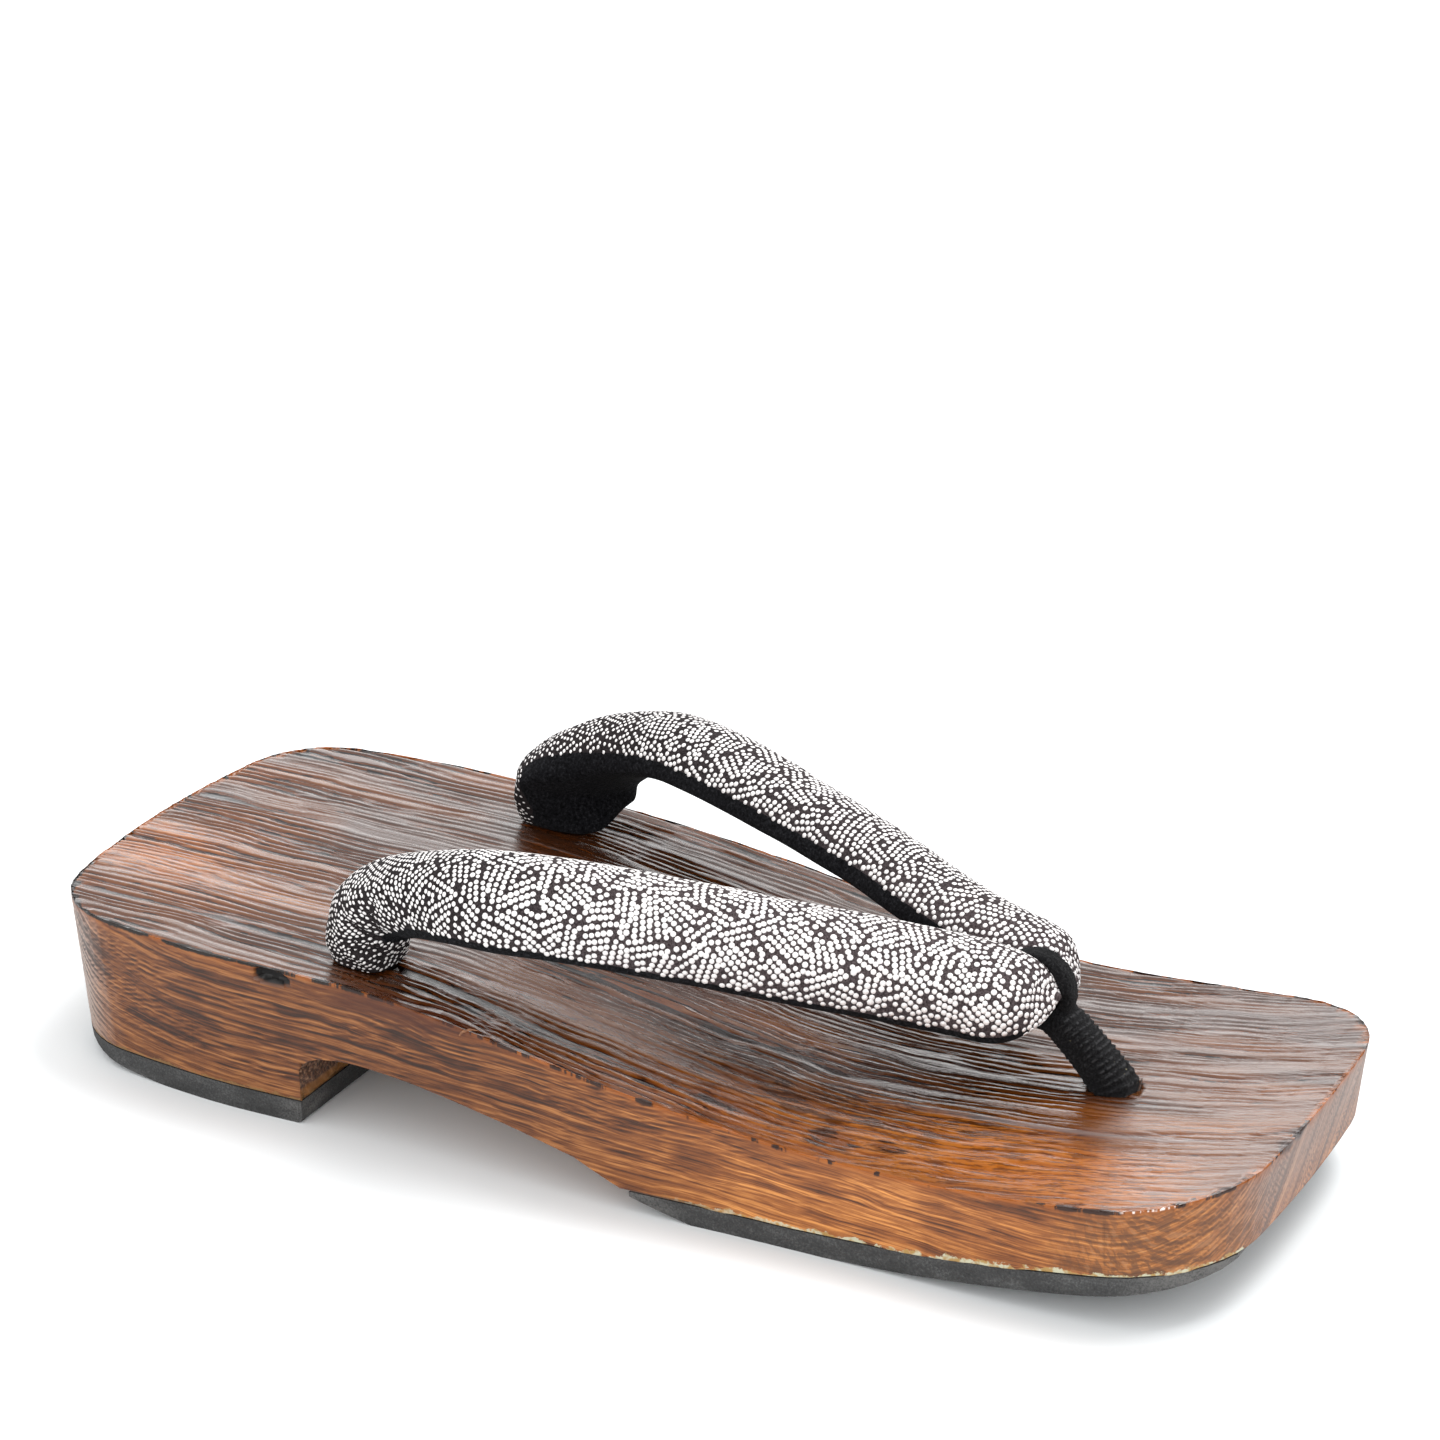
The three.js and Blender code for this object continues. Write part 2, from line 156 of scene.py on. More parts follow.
def catmull(rows, t, is_loop=False):
    """Points at t, from 0 to 1, on a uniform Catmull-Rom curve through the rows of a table."""
    count = len(rows)
    t = np.asarray(t, float) * (count if is_loop else count - 1)
    i = np.floor(t).astype(int)
    if is_loop:
        p = [rows[(i + k) % count] for k in (-1, 0, 1, 2)]
    else:
        i = np.minimum(i, count - 2)
        padded = np.vstack([2 * rows[0] - rows[1], rows, 2 * rows[-1] - rows[-2]])
        p = [padded[i + 1 + k] for k in (-1, 0, 1, 2)]
    f = (t - i)[:, None]
    return 0.5 * (
        2 * p[1] + (p[2] - p[0]) * f
        + (2 * p[0] - 5 * p[1] + 4 * p[2] - p[3]) * f**2
        + (3 * p[1] - p[0] - 3 * p[2] + p[3]) * f**3
    )


def unit(vectors):
    return vectors / np.linalg.norm(vectors, axis=-1, keepdims=True)


# ---------------------------------------------------------------- meshes

def add_to_scene(name, data):
    obj = bpy.data.objects.new(name, data)
    bpy.context.scene.collection.objects.link(obj)
    return obj


def make_object(name, points_mm, faces, materials, material_index=None):
    mesh = bpy.data.meshes.new(name)
    mesh.from_pydata([tuple(p) for p in np.asarray(points_mm) * MM], [], faces)
    for material in materials:
        mesh.materials.append(material)
    if material_index is not None:
        mesh.polygons.foreach_set("material_index", material_index)
    mesh.shade_smooth()
    mesh.update()
    return add_to_scene(name, mesh)


def tube_faces(ring_count, sides, is_loop=False, offset=0):
    """Faces of a tube from rings of points, with its ends capped unless it is a loop."""
    faces = []
    for i in range(ring_count if is_loop else ring_count - 1):
        here, after = i * sides, ((i + 1) % ring_count) * sides
        for j in range(sides):
            k = (j + 1) % sides
            faces.append((here + j, here + k, after + k, after + j))
    if not is_loop:
        faces.append(tuple(range(sides - 1, -1, -1)))
        faces.append(tuple((ring_count - 1) * sides + j for j in range(sides)))
    return [tuple(v + offset for v in f) for f in faces]


def outward(obj):
    """Turns the faces to point out."""
    bm = bmesh.new()
    bm.from_mesh(obj.data)
    bmesh.ops.recalc_face_normals(bm, faces=bm.faces)
    bm.to_mesh(obj.data)
    bm.free()
    return obj


def set_attributes(mesh, **values_by_name):
    for name, values in values_by_name.items():
        attribute = mesh.attributes.new(name, "FLOAT", "POINT")
        attribute.data.foreach_set("value", np.asarray(values, np.float32))


def read_vectors(items, name):
    values = np.empty(len(items) * 3, np.float32)
    items.foreach_get(name, values)
    return values.reshape(-1, 3).astype(float)


def turn_of(sides, offset=0.0):
    """Angles evenly round a circle."""
    return 2 * np.pi * (np.arange(sides) + offset) / sides


def round_line(u, v, angle):
    """Round every point of a line, the directions at each angle from u towards v."""
    return u[:, None] * np.cos(angle)[..., None] + v[:, None] * np.sin(angle)[..., None]


def lengths_along(points):
    return np.concatenate([[0], np.cumsum(np.linalg.norm(np.diff(points, axis=0), axis=1))])


# ---------------------------------------------------------------- shader nodes

class Nodes:
    """Builds one material's node tree: numbers, sockets and colours go in, sockets come out."""

    def __init__(self, name):
        self.material = bpy.data.materials.new(name)
        self.material.use_nodes = True
        self.tree = self.material.node_tree
        self.shader = self.tree.nodes["Principled BSDF"]

    def put(self, socket, value):
        if isinstance(value, bpy.types.NodeSocket):
            self.tree.links.new(value, socket)
        elif value is not None:
            socket.default_value = value

    def node(self, kind, *values, named=(), **settings):
        """A new node, with values for its inputs in their order, or by name as pairs."""
        node = self.tree.nodes.new("ShaderNode" + kind)
        for name, value in settings.items():
            setattr(node, name, value)
        for key, value in (*enumerate(values), *named):
            self.put(node.inputs[key], value)
        return node

    def math(self, operation, first, *others):
        """The operation on the first two values, then on that result and the next value, and so on."""
        for value in others or (None,):
            first = self.node("Math", first, value, operation=operation).outputs[0]
        return first

    def add(self, *values):
        return self.math("ADD", *values)

    def mul(self, first, *others):
        return self.math("MULTIPLY", first, *others) if others else first

    def around(self, noise, gain):
        """A noise's swing to both sides of its middle."""
        return self.mul(self.add(noise, -0.5), gain)

    def attribute(self, name):
        return self.node("Attribute", attribute_name=name).outputs["Fac"]

    def position(self):
        """Position on the part in millimetres, as x, y and z sockets."""
        where = self.node("TexCoord").outputs["Object"]
        place = self.node("VectorMath", where, named=[("Scale", 1 / MM)], operation="SCALE").outputs[0]
        return tuple(self.node("SeparateXYZ", place).outputs)

    def noise(self, coords, scale, detail, roughness=0.5):
        """Noise around 0.5 over two or three coordinates, with a scale for all of them or one for each."""
        scales = np.broadcast_to(scale, len(coords)).tolist()
        vector = self.node("CombineXYZ", *map(self.mul, coords, scales)).outputs[0]
        named = ("Vector", vector), ("Scale", 1.0), ("Detail", detail), ("Roughness", roughness)
        return self.node("TexNoise", named=named).outputs["Fac"]

    def between(self, value, low, high, to_low=0.0, to_high=1.0):
        node = self.node("MapRange", value, low, high, to_low, to_high, interpolation_type="SMOOTHSTEP")
        return node.outputs[0]

    def mix(self, factor, a, b, blend="MIX"):
        a, b = (c if isinstance(c, bpy.types.NodeSocket) else (*c, 1) for c in (a, b))
        colours = (6, a), (7, b)  # a mix node's inputs for colours
        return self.node("Mix", factor, named=colours, data_type="RGBA", blend_type=blend).outputs[2]

    def tint(self, colour, tone, *factors):
        """The colour with the tone laid over it, as strongly as all the factors multiplied."""
        return self.mix(self.mul(*factors), colour, tone)

    def ramp(self, factor, stops):
        node = self.node("ValToRGB", factor)
        elements = node.color_ramp.elements
        while len(elements) < len(stops):
            elements.new(0.5)
        for element, (at, colour) in zip(elements, stops):
            element.position = at
            element.color = (*colour, 1)
        return node.outputs[0]

    def bump(self, height, depth_mm):
        named = ("Strength", 1.0), ("Distance", depth_mm * MM), ("Height", height)
        return self.node("Bump", named=named).outputs[0]

    def spot(self, place, centre, radii, edge=0.35, rough=None):
        """1 inside an ellipsoid round centre, fading to 0 over edge of its radius, in millimetres."""
        offsets = [self.mul(self.add(p, -c), 1 / r) for p, c, r in zip(place, centre, radii)]
        distance = self.math("SQRT", self.add(*(self.mul(offset, offset) for offset in offsets)))
        if rough is not None:
            distance = self.add(distance, rough)
        return self.between(distance, 1 - edge, 1 + edge, 1.0, 0.0)

    def finish(self, **values):
        for name, value in values.items():
            self.put(self.shader.inputs[name.replace("_", " ")], value)
        return self.material


# ---------------------------------------------------------------- wood

def grain_of(x, y, z, up):
    """Distance from the pith in millimetres, bent as the trunk and its figure bend, less so on the walls."""
    lean = 0.098 * 12 * np.log1p(np.exp((x + 8.4) / 12))  # the trunk leans across towards the toe
    r = np.hypot(y - lean - PITH["y"], z - PITH["z"])
    figure = 0.75 * noise(2, x / 14, r / 5) + 0.34 * noise(6, x / 5.5, r / 2.4)
    walls = 1 - up
    lean_down = 0.05 * np.minimum(x + 30, 0) + 0.45 * (z - 20) * smooth(-10, 45, y)
    return r + 0.8 * noise(1, x / 60, r / 16) + (1 - 0.45 * walls) * figure - walls * lean_down


def step_line(x):
    """Across position of the long ring edge that crosses the fore part of the deck."""
    return -27 + 0.096 * (x - 14) + 0.35 * np.sin(x / 9)


def relief_of(x, y, r, up):
    """0 in a brushed-out groove, 1 on a ridge."""
    bend = 0.7 * noise(3, r / 3.1, x / 130)
    wave = 0.5 - 0.5 * np.cos(2 * np.pi * (r / np.where(up > 0.5, DECK_PITCH, SIDE_PITCH) + bend))
    strength = 0.35 + 0.65 * smooth(-0.45, 0.25, noise(4, r / 5.5, x / 70))
    smooth_fore = smooth(40, 72, x) * smooth(1.5, -1.5, y - step_line(x))
    smooth_toe = smooth(78, 100, x)
    strength = strength * (1 - up * np.maximum(0.72 * smooth_fore, 0.5 * smooth_toe))
    dash = smooth(0.34, 0.60, noise(5, x / 13, r / 0.9))
    return np.clip(1 - strength * wave**2.6 - 0.65 * dash * (0.3 + 0.7 * strength), 0, 1)


def slice_geometry(bm, faces, axis, places):
    """Cuts the faces at each place along an axis, by halves."""
    if not places or not faces:
        return
    middle = len(places) // 2
    at = places[middle] * MM
    normal = Vector([float(k == axis) for k in range(3)])
    edges = dict.fromkeys(e for f in faces for e in f.edges)  # keeps an order, so that each run cuts alike
    verts = dict.fromkeys(v for f in faces for v in f.verts)
    cut = bmesh.ops.bisect_plane(
        bm, geom=[*verts, *edges, *faces], dist=1e-7, plane_co=normal * at, plane_no=normal
    )
    after = [g for g in cut["geom"] if isinstance(g, bmesh.types.BMFace)]
    low = [f for f in after if min(v.co[axis] for v in f.verts) < at - 1e-6]
    high = [f for f in after if max(v.co[axis] for v in f.verts) > at + 1e-6]
    slice_geometry(bm, low, axis, places[:middle])
    slice_geometry(bm, high, axis, places[middle + 1:])


def steps(low, high, step):
    count = max(1, round((high - low) / step))
    return [low + (high - low) * (i + 0.5) / count for i in range(count)]


def is_hole_wall(face):
    centre = face.calc_center_median() / MM
    for hole, y in ((FRONT_HOLE, 0), (REAR_HOLE, REAR_HOLE["y"]), (REAR_HOLE, -REAR_HOLE["y"])):
        if math.hypot(centre.x - hole["x"], centre.y - y) < hole["radius"] + 0.05:
            return True
    return False


def is_over(box, point):
    low, high = box
    return low.x / MM - 0.5 < point[0] < high.x / MM + 0.5 and point[2] < high.z / MM + 0.6


def distance_to(rim, points):
    tree = KDTree(len(rim))
    for i, p in enumerate(rim):
        tree.insert(p, i)
    tree.balance()
    return np.array([tree.find(p)[2] for p in points])


def carved_block():
    """The frame's platform with its edges eased, cut finely enough to carry the grain's relief."""
    bm = bmesh.new()
    bm.from_mesh(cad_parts["dai"].data)
    bmesh.ops.remove_doubles(bm, verts=bm.verts, dist=0.25 * MM)
    bmesh.ops.dissolve_degenerate(bm, edges=bm.edges, dist=0.01 * MM)
    bmesh.ops.dissolve_limit(bm, angle_limit=math.radians(0.06), verts=bm.verts, edges=bm.edges)
    bm.normal_update()
    crease = [
        e for e in bm.edges
        if len(e.link_faces) == 2
        and e.calc_face_angle(0) > math.radians(40)
        and not any(is_hole_wall(f) for f in e.link_faces)
    ]
    soles = [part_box("heel_sole"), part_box("forefoot_sole")]
    rims = {"deck": [], "sole": []}
    for e in crease:
        a, b = (np.array(v.co[:]) / MM for v in e.verts)
        count = int(np.linalg.norm(b - a) / 0.5) + 2
        points = a + (b - a) * np.linspace(0, 1, count)[:, None]
        if max(f.normal.z for f in e.link_faces) > 0.5:
            rims["deck"] += list(points)
        elif min(f.normal.z for f in e.link_faces) < -0.5:
            rims["sole"] += [p for p in points if any(is_over(box, p) for box in soles)]
    bmesh.ops.bevel(
        bm, geom=crease, offset=CREASE_ROUND * MM, offset_type="OFFSET", segments=2, profile=0.5,
        affect="EDGES", clamp_overlap=True,
    )
    low, high = (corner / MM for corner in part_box("dai"))
    round_parts = steps(low.x, low.x + 13, 0.9) + steps(-75, -64.9, 0.8) + steps(high.x - 13, high.x, 0.9)
    for axis, places, is_cut in (
        (0, steps(low.x, high.x, SLICE_ALONG), lambda f: True),
        (0, round_parts, lambda f: abs(f.normal.z) < 0.6),
        (1, steps(low.y, high.y, SLICE_ACROSS), lambda f: f.normal.z > 0.6),
        (1, steps(low.y, high.y, SLICE_ENDS), lambda f: abs(f.normal.x) > 0.6),
        (2, steps(low.z, high.z, SLICE_UP), lambda f: abs(f.normal.z) < 0.6 and not is_hole_wall(f)),
    ):
        bm.normal_update()
        slice_geometry(bm, [f for f in bm.faces if is_cut(f)], axis, places)
    bmesh.ops.triangulate(bm, faces=[f for f in bm.faces if len(f.verts) > 4])
    bm.normal_update()
    return bm, rims


def pocket_of(x, y, z):
    """1 inside the knot hole in the near edge, which is squarish, leans and has a wavy rim."""
    from_x, from_z = x - POCKET["x"], z - POCKET["z"]
    reach = np.abs(from_x / POCKET["long"]) ** 2.6 + np.abs((from_z + 0.05 * from_x) / POCKET["high"]) ** 2.2
    rim = reach**0.4 + 0.12 * noise(16, x / 1.6, z / 1.2)
    return smooth(1.12, 0.88, rim) * (y < -45) * smooth(34.1, 33.6, z)


def build_wood():
    bm, rims = carved_block()
    mesh = bpy.data.meshes.new("dai_wood")
    bm.to_mesh(mesh)
    bm.free()
    points = read_vectors(mesh.vertices, "co") / MM
    normals = read_vectors(mesh.vertex_normals, "vector")
    x, y, z = points.T
    up = smooth(0.35, 0.8, normals[:, 2])
    grain = grain_of(x, y, z, up)
    relief = relief_of(x, y, grain, up)
    under = smooth(0.35, 0.8, -normals[:, 2])
    across = np.abs(normals[:, 0])
    end = np.where(x < 0, smooth(0.10, 0.65, across), smooth(0.30, 0.85, across)) * (1 - up) * (1 - under)
    breast = end * smooth(-66, -65.2, x) * smooth(-63, -64, x)
    side = (1 - up) * (1 - under)
    rim = distance_to(rims["deck"], points)
    crease = np.exp(-((rim / 0.62) ** 2))
    joint = distance_to(rims["sole"], points)
    pocket = pocket_of(x, y, z) * smooth(0.5, 0.9, side)
    depth = DECK_RIDGE * up + SIDE_RIDGE * side * (1 + end * np.where(x < 0, 0.1, -0.5)) + 0.02 * under
    push = -depth * (1 - relief)
    push += up * 0.12 * noise(11, x / 30, y / 7)
    line = y - step_line(x)
    on_line = smooth(8, 22, x) * smooth(122, 108, x)
    push += up * on_line * (0.22 * smooth(0.35, -0.35, line) * smooth(-9, 0, line))
    push += breast * (0.45 * noise(12, y / 0.9, z / 1.3) - 0.25)
    push += side * 0.05 * noise(13, x / 8, z / 3, y / 8)
    push -= crease * (0.12 + 0.16 * noise(14, x / 2.2, y / 2.2))
    push -= POCKET["deep"] * pocket
    push += 0.30 * np.exp(-((joint / 0.45) ** 2)) * (x > 0) * smooth(-0.2, 0.5, noise(15, x / 6, y / 6))
    points += normals * push[:, None]
    mesh.vertices.foreach_set("co", (points * MM).astype(np.float32).ravel())
    set_attributes(
        mesh, grain=grain, relief=relief, deck=up, end=end, under=under, breast=breast, crease=crease,
        brim=np.exp(-((rim / 2.2) ** 2)) * side, pocket=pocket, joint=np.minimum(joint, 9),
        amber=amber_of(x, y, up), step=up * on_line * np.exp(-((line - 0.25) / 0.3) ** 2),
        # painted sheen: a pale grey band just on the near side of the step line, standing in for the step slope's
        # reflection
        shelf=up * on_line * smooth(35, 75, x) * np.exp(-((line + 1.1) / 0.9) ** 2),
    )
    for zone, specular in (("walls", 0.36), ("top", 0.70), ("fore", 0.26)):
        mesh.materials.append(wood_material("lacquered_wood_" + zone, specular))
    mesh.polygons.foreach_set("material_index", gloss_zones(mesh))
    mesh.shade_smooth()
    obj = add_to_scene("dai_wood", mesh)
    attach(obj, "root")
    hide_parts("dai")


def gloss_zones(mesh):
    """Which material each face has: 0 on the walls, 1 on the top, 2 on the duller strip before the step line."""
    x, y, _ = read_vectors(mesh.polygons, "center").T / MM
    share = smooth(-5, 40, x) * smooth(118, 96, x) * smooth(1.2, -0.4, y - step_line(x))
    dull = share > random_cell(61, [np.floor(x / 3), np.floor(y / 0.26)])
    top = read_vectors(mesh.polygons, "normal")[:, 2] > 0.6
    return np.where(top, np.where(dull, 2, 1), 0).astype(np.int32)


AMBER_PATCHES = (  # strength, then centre and half sizes along and across
    (1.0, -117, -17, 26, 13), (0.20, -90, -32, 26, 10), (0.15, -125, 25, 12, 25), (0.98, 86, -38, 44, 14),
    (0.22, 114, -8, 16, 20), (0.35, 25, -44, 26, 7), (-0.30, -30, 25, 60, 16), (-0.22, -70, 0, 30, 20),
    (0.12, -5, -36, 40, 12), (0.18, 35, -22, 30, 10), (-0.15, 60, 30, 50, 14),
)


def amber_of(x, y, up):
    """How far the lacquer's colour goes from dark brown, 0, to amber, 1."""
    amber = 0.11 + 0.28 * noise(41, x / 26, y / 6)
    for strength, at_x, at_y, half_x, half_y in AMBER_PATCHES:
        amber += strength * np.exp(-(((x - at_x) / half_x) ** 2 + ((y - at_y) / half_y) ** 2))
    return np.clip(amber, 0, 1) * up


def side_colour_of(n, place, relief, grain, end, shade):
    """The walls: streaked along the grain, greyer and lined on the end grain, which at the heel is partly painted grey
    sheen, mottled at the toe's near corner.
    """
    x, y, z = place
    thin = n.noise((x, grain), (0.036, 2.5), 3, 0.6)
    vessel = n.noise((x, grain), (0.14, 3.4), 1)
    mottle = n.noise((x, z, y), (0.13, 0.32, 0.13), 3, 0.6)
    wander = n.noise(place, 0.1, 1)
    ring = n.math("SINE", n.mul(n.add(grain, n.mul(wander, 3.0)), 2 * math.pi / 1.25))
    level = n.add(
        n.mul(relief, 0.54), n.mul(shade, 0.42), n.around(thin, 1.15), n.around(mottle, 0.38),
        n.mul(n.between(vessel, 0.56, 0.66), -0.18), n.mul(end, n.between(x, 10, -10), n.mul(ring, 0.20)), 0.12,
    )
    colour = n.ramp(level, (
        (0.08, (0.026, 0.008, 0.003)),
        (0.34, (0.090, 0.026, 0.007)),
        (0.56, (0.170, 0.055, 0.014)),
        (0.90, (0.400, 0.165, 0.050)),
    ))
    lighter = n.mix(1.0, colour, (1.80, 1.80, 1.50), "MULTIPLY")
    colour = n.tint(colour, lighter, n.between(x, -20, 55))
    # the heel's end grain turns paler and greyer: partly its own tone, partly painted grey sheen
    heel_end_and_sheen = n.mix(n.between(level, 0.15, 0.70), (0.055, 0.034, 0.026), (0.36, 0.28, 0.24))
    toe_face = n.mix(n.between(level, 0.05, 0.95), (0.135, 0.090, 0.072), (0.26, 0.195, 0.170))
    pale = n.mix(n.between(x, -10, 10), heel_end_and_sheen, toe_face)
    heel = n.between(x, 0, -20)
    face = n.mul(end, n.between(n.add(z, n.mul(heel, 14.0)), 4, 26), n.math("MAXIMUM", heel, n.between(y, -44, -24)))
    colour = n.tint(colour, pale, face, 0.80)
    colour = n.tint(colour, (0.20, 0.052, 0.006), n.attribute("brim"), n.between(mottle, 0.40, 0.55), 0.6)

    across = n.add(x, n.mul(y, -1.0))
    fleck = n.noise((n.add(across, n.mul(z, 0.25)), z, grain), (0.95, 0.36, 0.3), 3)
    corner = n.spot(place, (119.0, -42.0, 14.0), (19.0, 16.0, 14.0), 0.5)
    colour = n.tint(colour, (0.29, 0.115, 0.034), corner, 0.40)
    colour = n.tint(colour, (0.085, 0.036, 0.018), n.between(fleck, 0.50, 0.58), corner, 0.62)
    colour = n.tint(colour, (0.48, 0.28, 0.15), n.between(fleck, 0.45, 0.38), corner, 0.16)
    return colour


def deck_colour_of(n, place, level, grain, amber, cloud, fleck):
    """The top: near black in the grooves, partly the lacquer pooled there and partly painted shade, with amber beside
    them, brown or amber on the ridges, and a band of painted sheen along the step line.
    """
    x = place[0]
    # the lowest stops of both ramps, where the relief is low in the grooves, are partly pooled lacquer and partly
    # painted shade
    brown = n.ramp(level, (
        (0.16, (0.003, 0.0012, 0.001)),
        (0.29, (0.100, 0.025, 0.003)),
        (0.42, (0.048, 0.013, 0.003)),
        (0.80, (0.040, 0.014, 0.006)),
    ))
    gold = n.ramp(level, (
        (0.14, (0.014, 0.003, 0.001)),
        (0.33, (0.170, 0.040, 0.003)),
        (0.58, (0.300, 0.084, 0.007)),
        (0.84, (0.350, 0.118, 0.020)),
    ))
    colour = n.mix(amber, brown, gold)
    figure = n.noise((x, grain), (0.10, 1.05), 4, 0.66)
    figured = n.spot(place[:2], (42.0, -24.0), (44.0, 15.0), 0.35)
    colour = n.tint(colour, (0.024, 0.006, 0.0015), n.between(figure, 0.49, 0.545), figured, 0.85)
    dash = n.noise((x, grain), (0.16, 1.4), 4, 0.65)
    colour = n.tint(colour, (0.055, 0.014, 0.003), n.between(dash, 0.49, 0.57), n.between(amber, 0.05, 0.6), 0.68)
    edge = n.add(n.around(cloud, 2.2), n.around(fleck, 1.6))
    blotches = n.math("MAXIMUM", *(
        n.spot(place[:2], centre, radii, 0.20, edge)
        for centre, radii in (((51.9, -42.3), (5.8, 3.8)), ((61.0, -40.8), (5.0, 2.6)))
    ))
    scorched = n.mix(n.between(fleck, 0.46, 0.54), (0.022, 0.005, 0.001), (0.130, 0.032, 0.002))
    colour = n.tint(colour, scorched, blotches, 0.92)
    # painted sheen: the pale grey band along the step line
    return n.tint(colour, (0.155, 0.145, 0.150), n.attribute("shelf"), 0.55)


def edge_colour_of(n, place, colour, crease, edge):
    """The top edge: wear as a dark line with chips and amber rims, a stain and two toe chips, then painted highlight
    glints on the near toe corner.
    """
    x, y, _ = place
    chip = n.noise((x, y), 0.17, 4, 0.65)
    line = n.mul(n.between(x, -62, -70), n.between(y, -20, -34), n.between(chip, 0.30, 0.42))
    colour = n.tint(colour, (0.33, 0.088, 0.007), crease, n.between(chip, 0.40, 0.48))
    chipped_off = n.math("SUBTRACT", 1.0, n.between(chip, 0.455, 0.50))
    dark = n.math("MAXIMUM", n.mul(line, n.between(chip, 0.66, 0.58)), chipped_off)
    width = n.between(n.add(crease, n.around(chip, -1.4)), 0.20, 0.50)
    brown = n.mix(n.between(x, -60, -20), (0.008, 0.003, 0.001), (0.026, 0.007, 0.002))
    colour = n.tint(colour, brown, width, dark)
    stain = n.spot(place, (-40.0, -52.0, 31.0), (24.0, 6.0, 2.6), 0.45, edge)
    colour = n.tint(colour, (0.060, 0.012, 0.003), stain, 0.75)
    toe_chips = n.math("MAXIMUM", *(
        n.spot(place, centre, radii, 0.4, edge)
        for centre, radii in (((132.0, -17.5, 29.0), (2.5, 3.2, 1.6)), ((132.5, -11.5, 29.4), (2.5, 1.6, 1.4)))
    ))
    colour = n.tint(colour, (0.020, 0.005, 0.002), toe_chips, 0.9)
    # painted highlight: pale glints along the near toe corner's edge, where beads of lacquer catch the light
    bead = n.noise((x, y), 1.1, 1)
    painted_glint = n.spot(place[:2], (119.5, -46.5), (9.0, 4.0), 0.3)
    return n.tint(colour, (0.85, 0.72, 0.66), painted_glint, n.between(crease, 0.35, 0.7), n.between(bead, 0.52, 0.60))


def glue_colour_of(n, place, colour, joint):
    """Dried glue squeezed out along the joints: ochre and whitish in front, thin and brown at the heel."""
    x = place[0]
    drip = n.noise(place, (0.35, 0.35, 0.5), 4, 0.7)
    tone = n.noise(place, 0.6, 2)
    reach = n.add(joint, n.around(drip, -4.2))
    ochre = n.mix(n.between(tone, 0.42, 0.60), (0.36, 0.225, 0.070), (0.50, 0.50, 0.36))
    front = n.mul(n.between(reach, 0.70, 0.40), n.between(x, 12, 30))
    colour = n.tint(colour, ochre, front, n.between(x, 5, 60, 0.35, 0.90))
    heel = n.mul(n.between(reach, 0.45, 0.15), n.between(x, -60, -64))
    return n.tint(colour, (0.20, 0.105, 0.030), heel, 0.8)


def wood_material(name, specular):
    n = Nodes(name)
    place = n.position()
    x = place[0]
    grain, relief, deck, end, under, amber, crease, pocket, joint, breast, step = map(
        n.attribute, "grain relief deck end under amber crease pocket joint breast step".split()
    )
    fibre = n.noise((x, grain), (0.07, 2.6), 4, 0.62)
    band = n.noise((x, grain), (0.012, 0.20), 2)
    cloud = n.noise(place, (0.05, 0.16, 0.16), 3)
    pore = n.noise(place, (1.2, 1.6, 1.6), 3, 0.6)
    fleck = n.noise((x, grain), (0.16, 1.1), 2)

    shade = n.add(n.around(fibre, 0.60), n.around(band, 0.35), n.around(cloud, 0.25), n.mul(end, n.around(pore, 0.9)))
    # the relief lowers the level in the grooves, which the deck's ramps turn near black: partly pooled lacquer, partly
    # painted shade
    level = n.add(n.mul(relief, 0.62), shade, 0.10, n.mul(n.between(fleck, 0.56, 0.66), -0.26), n.mul(step, -0.35))

    side_colour = side_colour_of(n, place, relief, grain, end, shade)
    splintered = n.ramp(pore, (
        (0.36, (0.016, 0.008, 0.005)),
        (0.50, (0.105, 0.040, 0.018)),
        (0.66, (0.300, 0.170, 0.100)),
    ))
    side_colour = n.tint(side_colour, splintered, breast, 0.85)
    side_colour = n.tint(side_colour, (0.30, 0.125, 0.030), breast, n.between(joint, 2.4, 1.6), 0.7)
    colour = n.tint(side_colour, deck_colour_of(n, place, level, grain, amber, cloud, fleck), deck)
    edge = n.add(n.around(cloud, 1.6), n.around(fleck, 1.2))
    colour = edge_colour_of(n, place, colour, crease, edge)
    colour = glue_colour_of(n, place, colour, joint)
    colour = n.tint(colour, (0.004, 0.003, 0.003), n.between(pocket, 0.1, 0.5))
    colour = n.tint(colour, (0.20, 0.10, 0.055), under, 0.5)

    fine = n.noise((x, grain), (0.12, 4.5), 3, 0.6)
    height = n.add(n.mul(fine, 0.7), n.mul(pore, 0.3))
    roughness = n.add(n.mul(deck, -0.29), 0.44, n.mul(amber, -0.03), n.mul(under, 0.2), n.mul(pocket, 0.2))
    return n.finish(
        Base_Color=colour, Roughness=roughness, Normal=n.bump(height, 0.10), IOR=1.5, Specular_IOR_Level=specular
    )


def noisy_material(name, scale, detail, noise_roughness, stops, bump_mm, **values):
    """A material of one noise, which goes through a ramp of colours and into the bump."""
    n = Nodes(name)
    level = n.noise(n.position(), scale, detail, noise_roughness)
    return n.finish(Base_Color=n.ramp(level, stops), Normal=n.bump(level, bump_mm), **values)


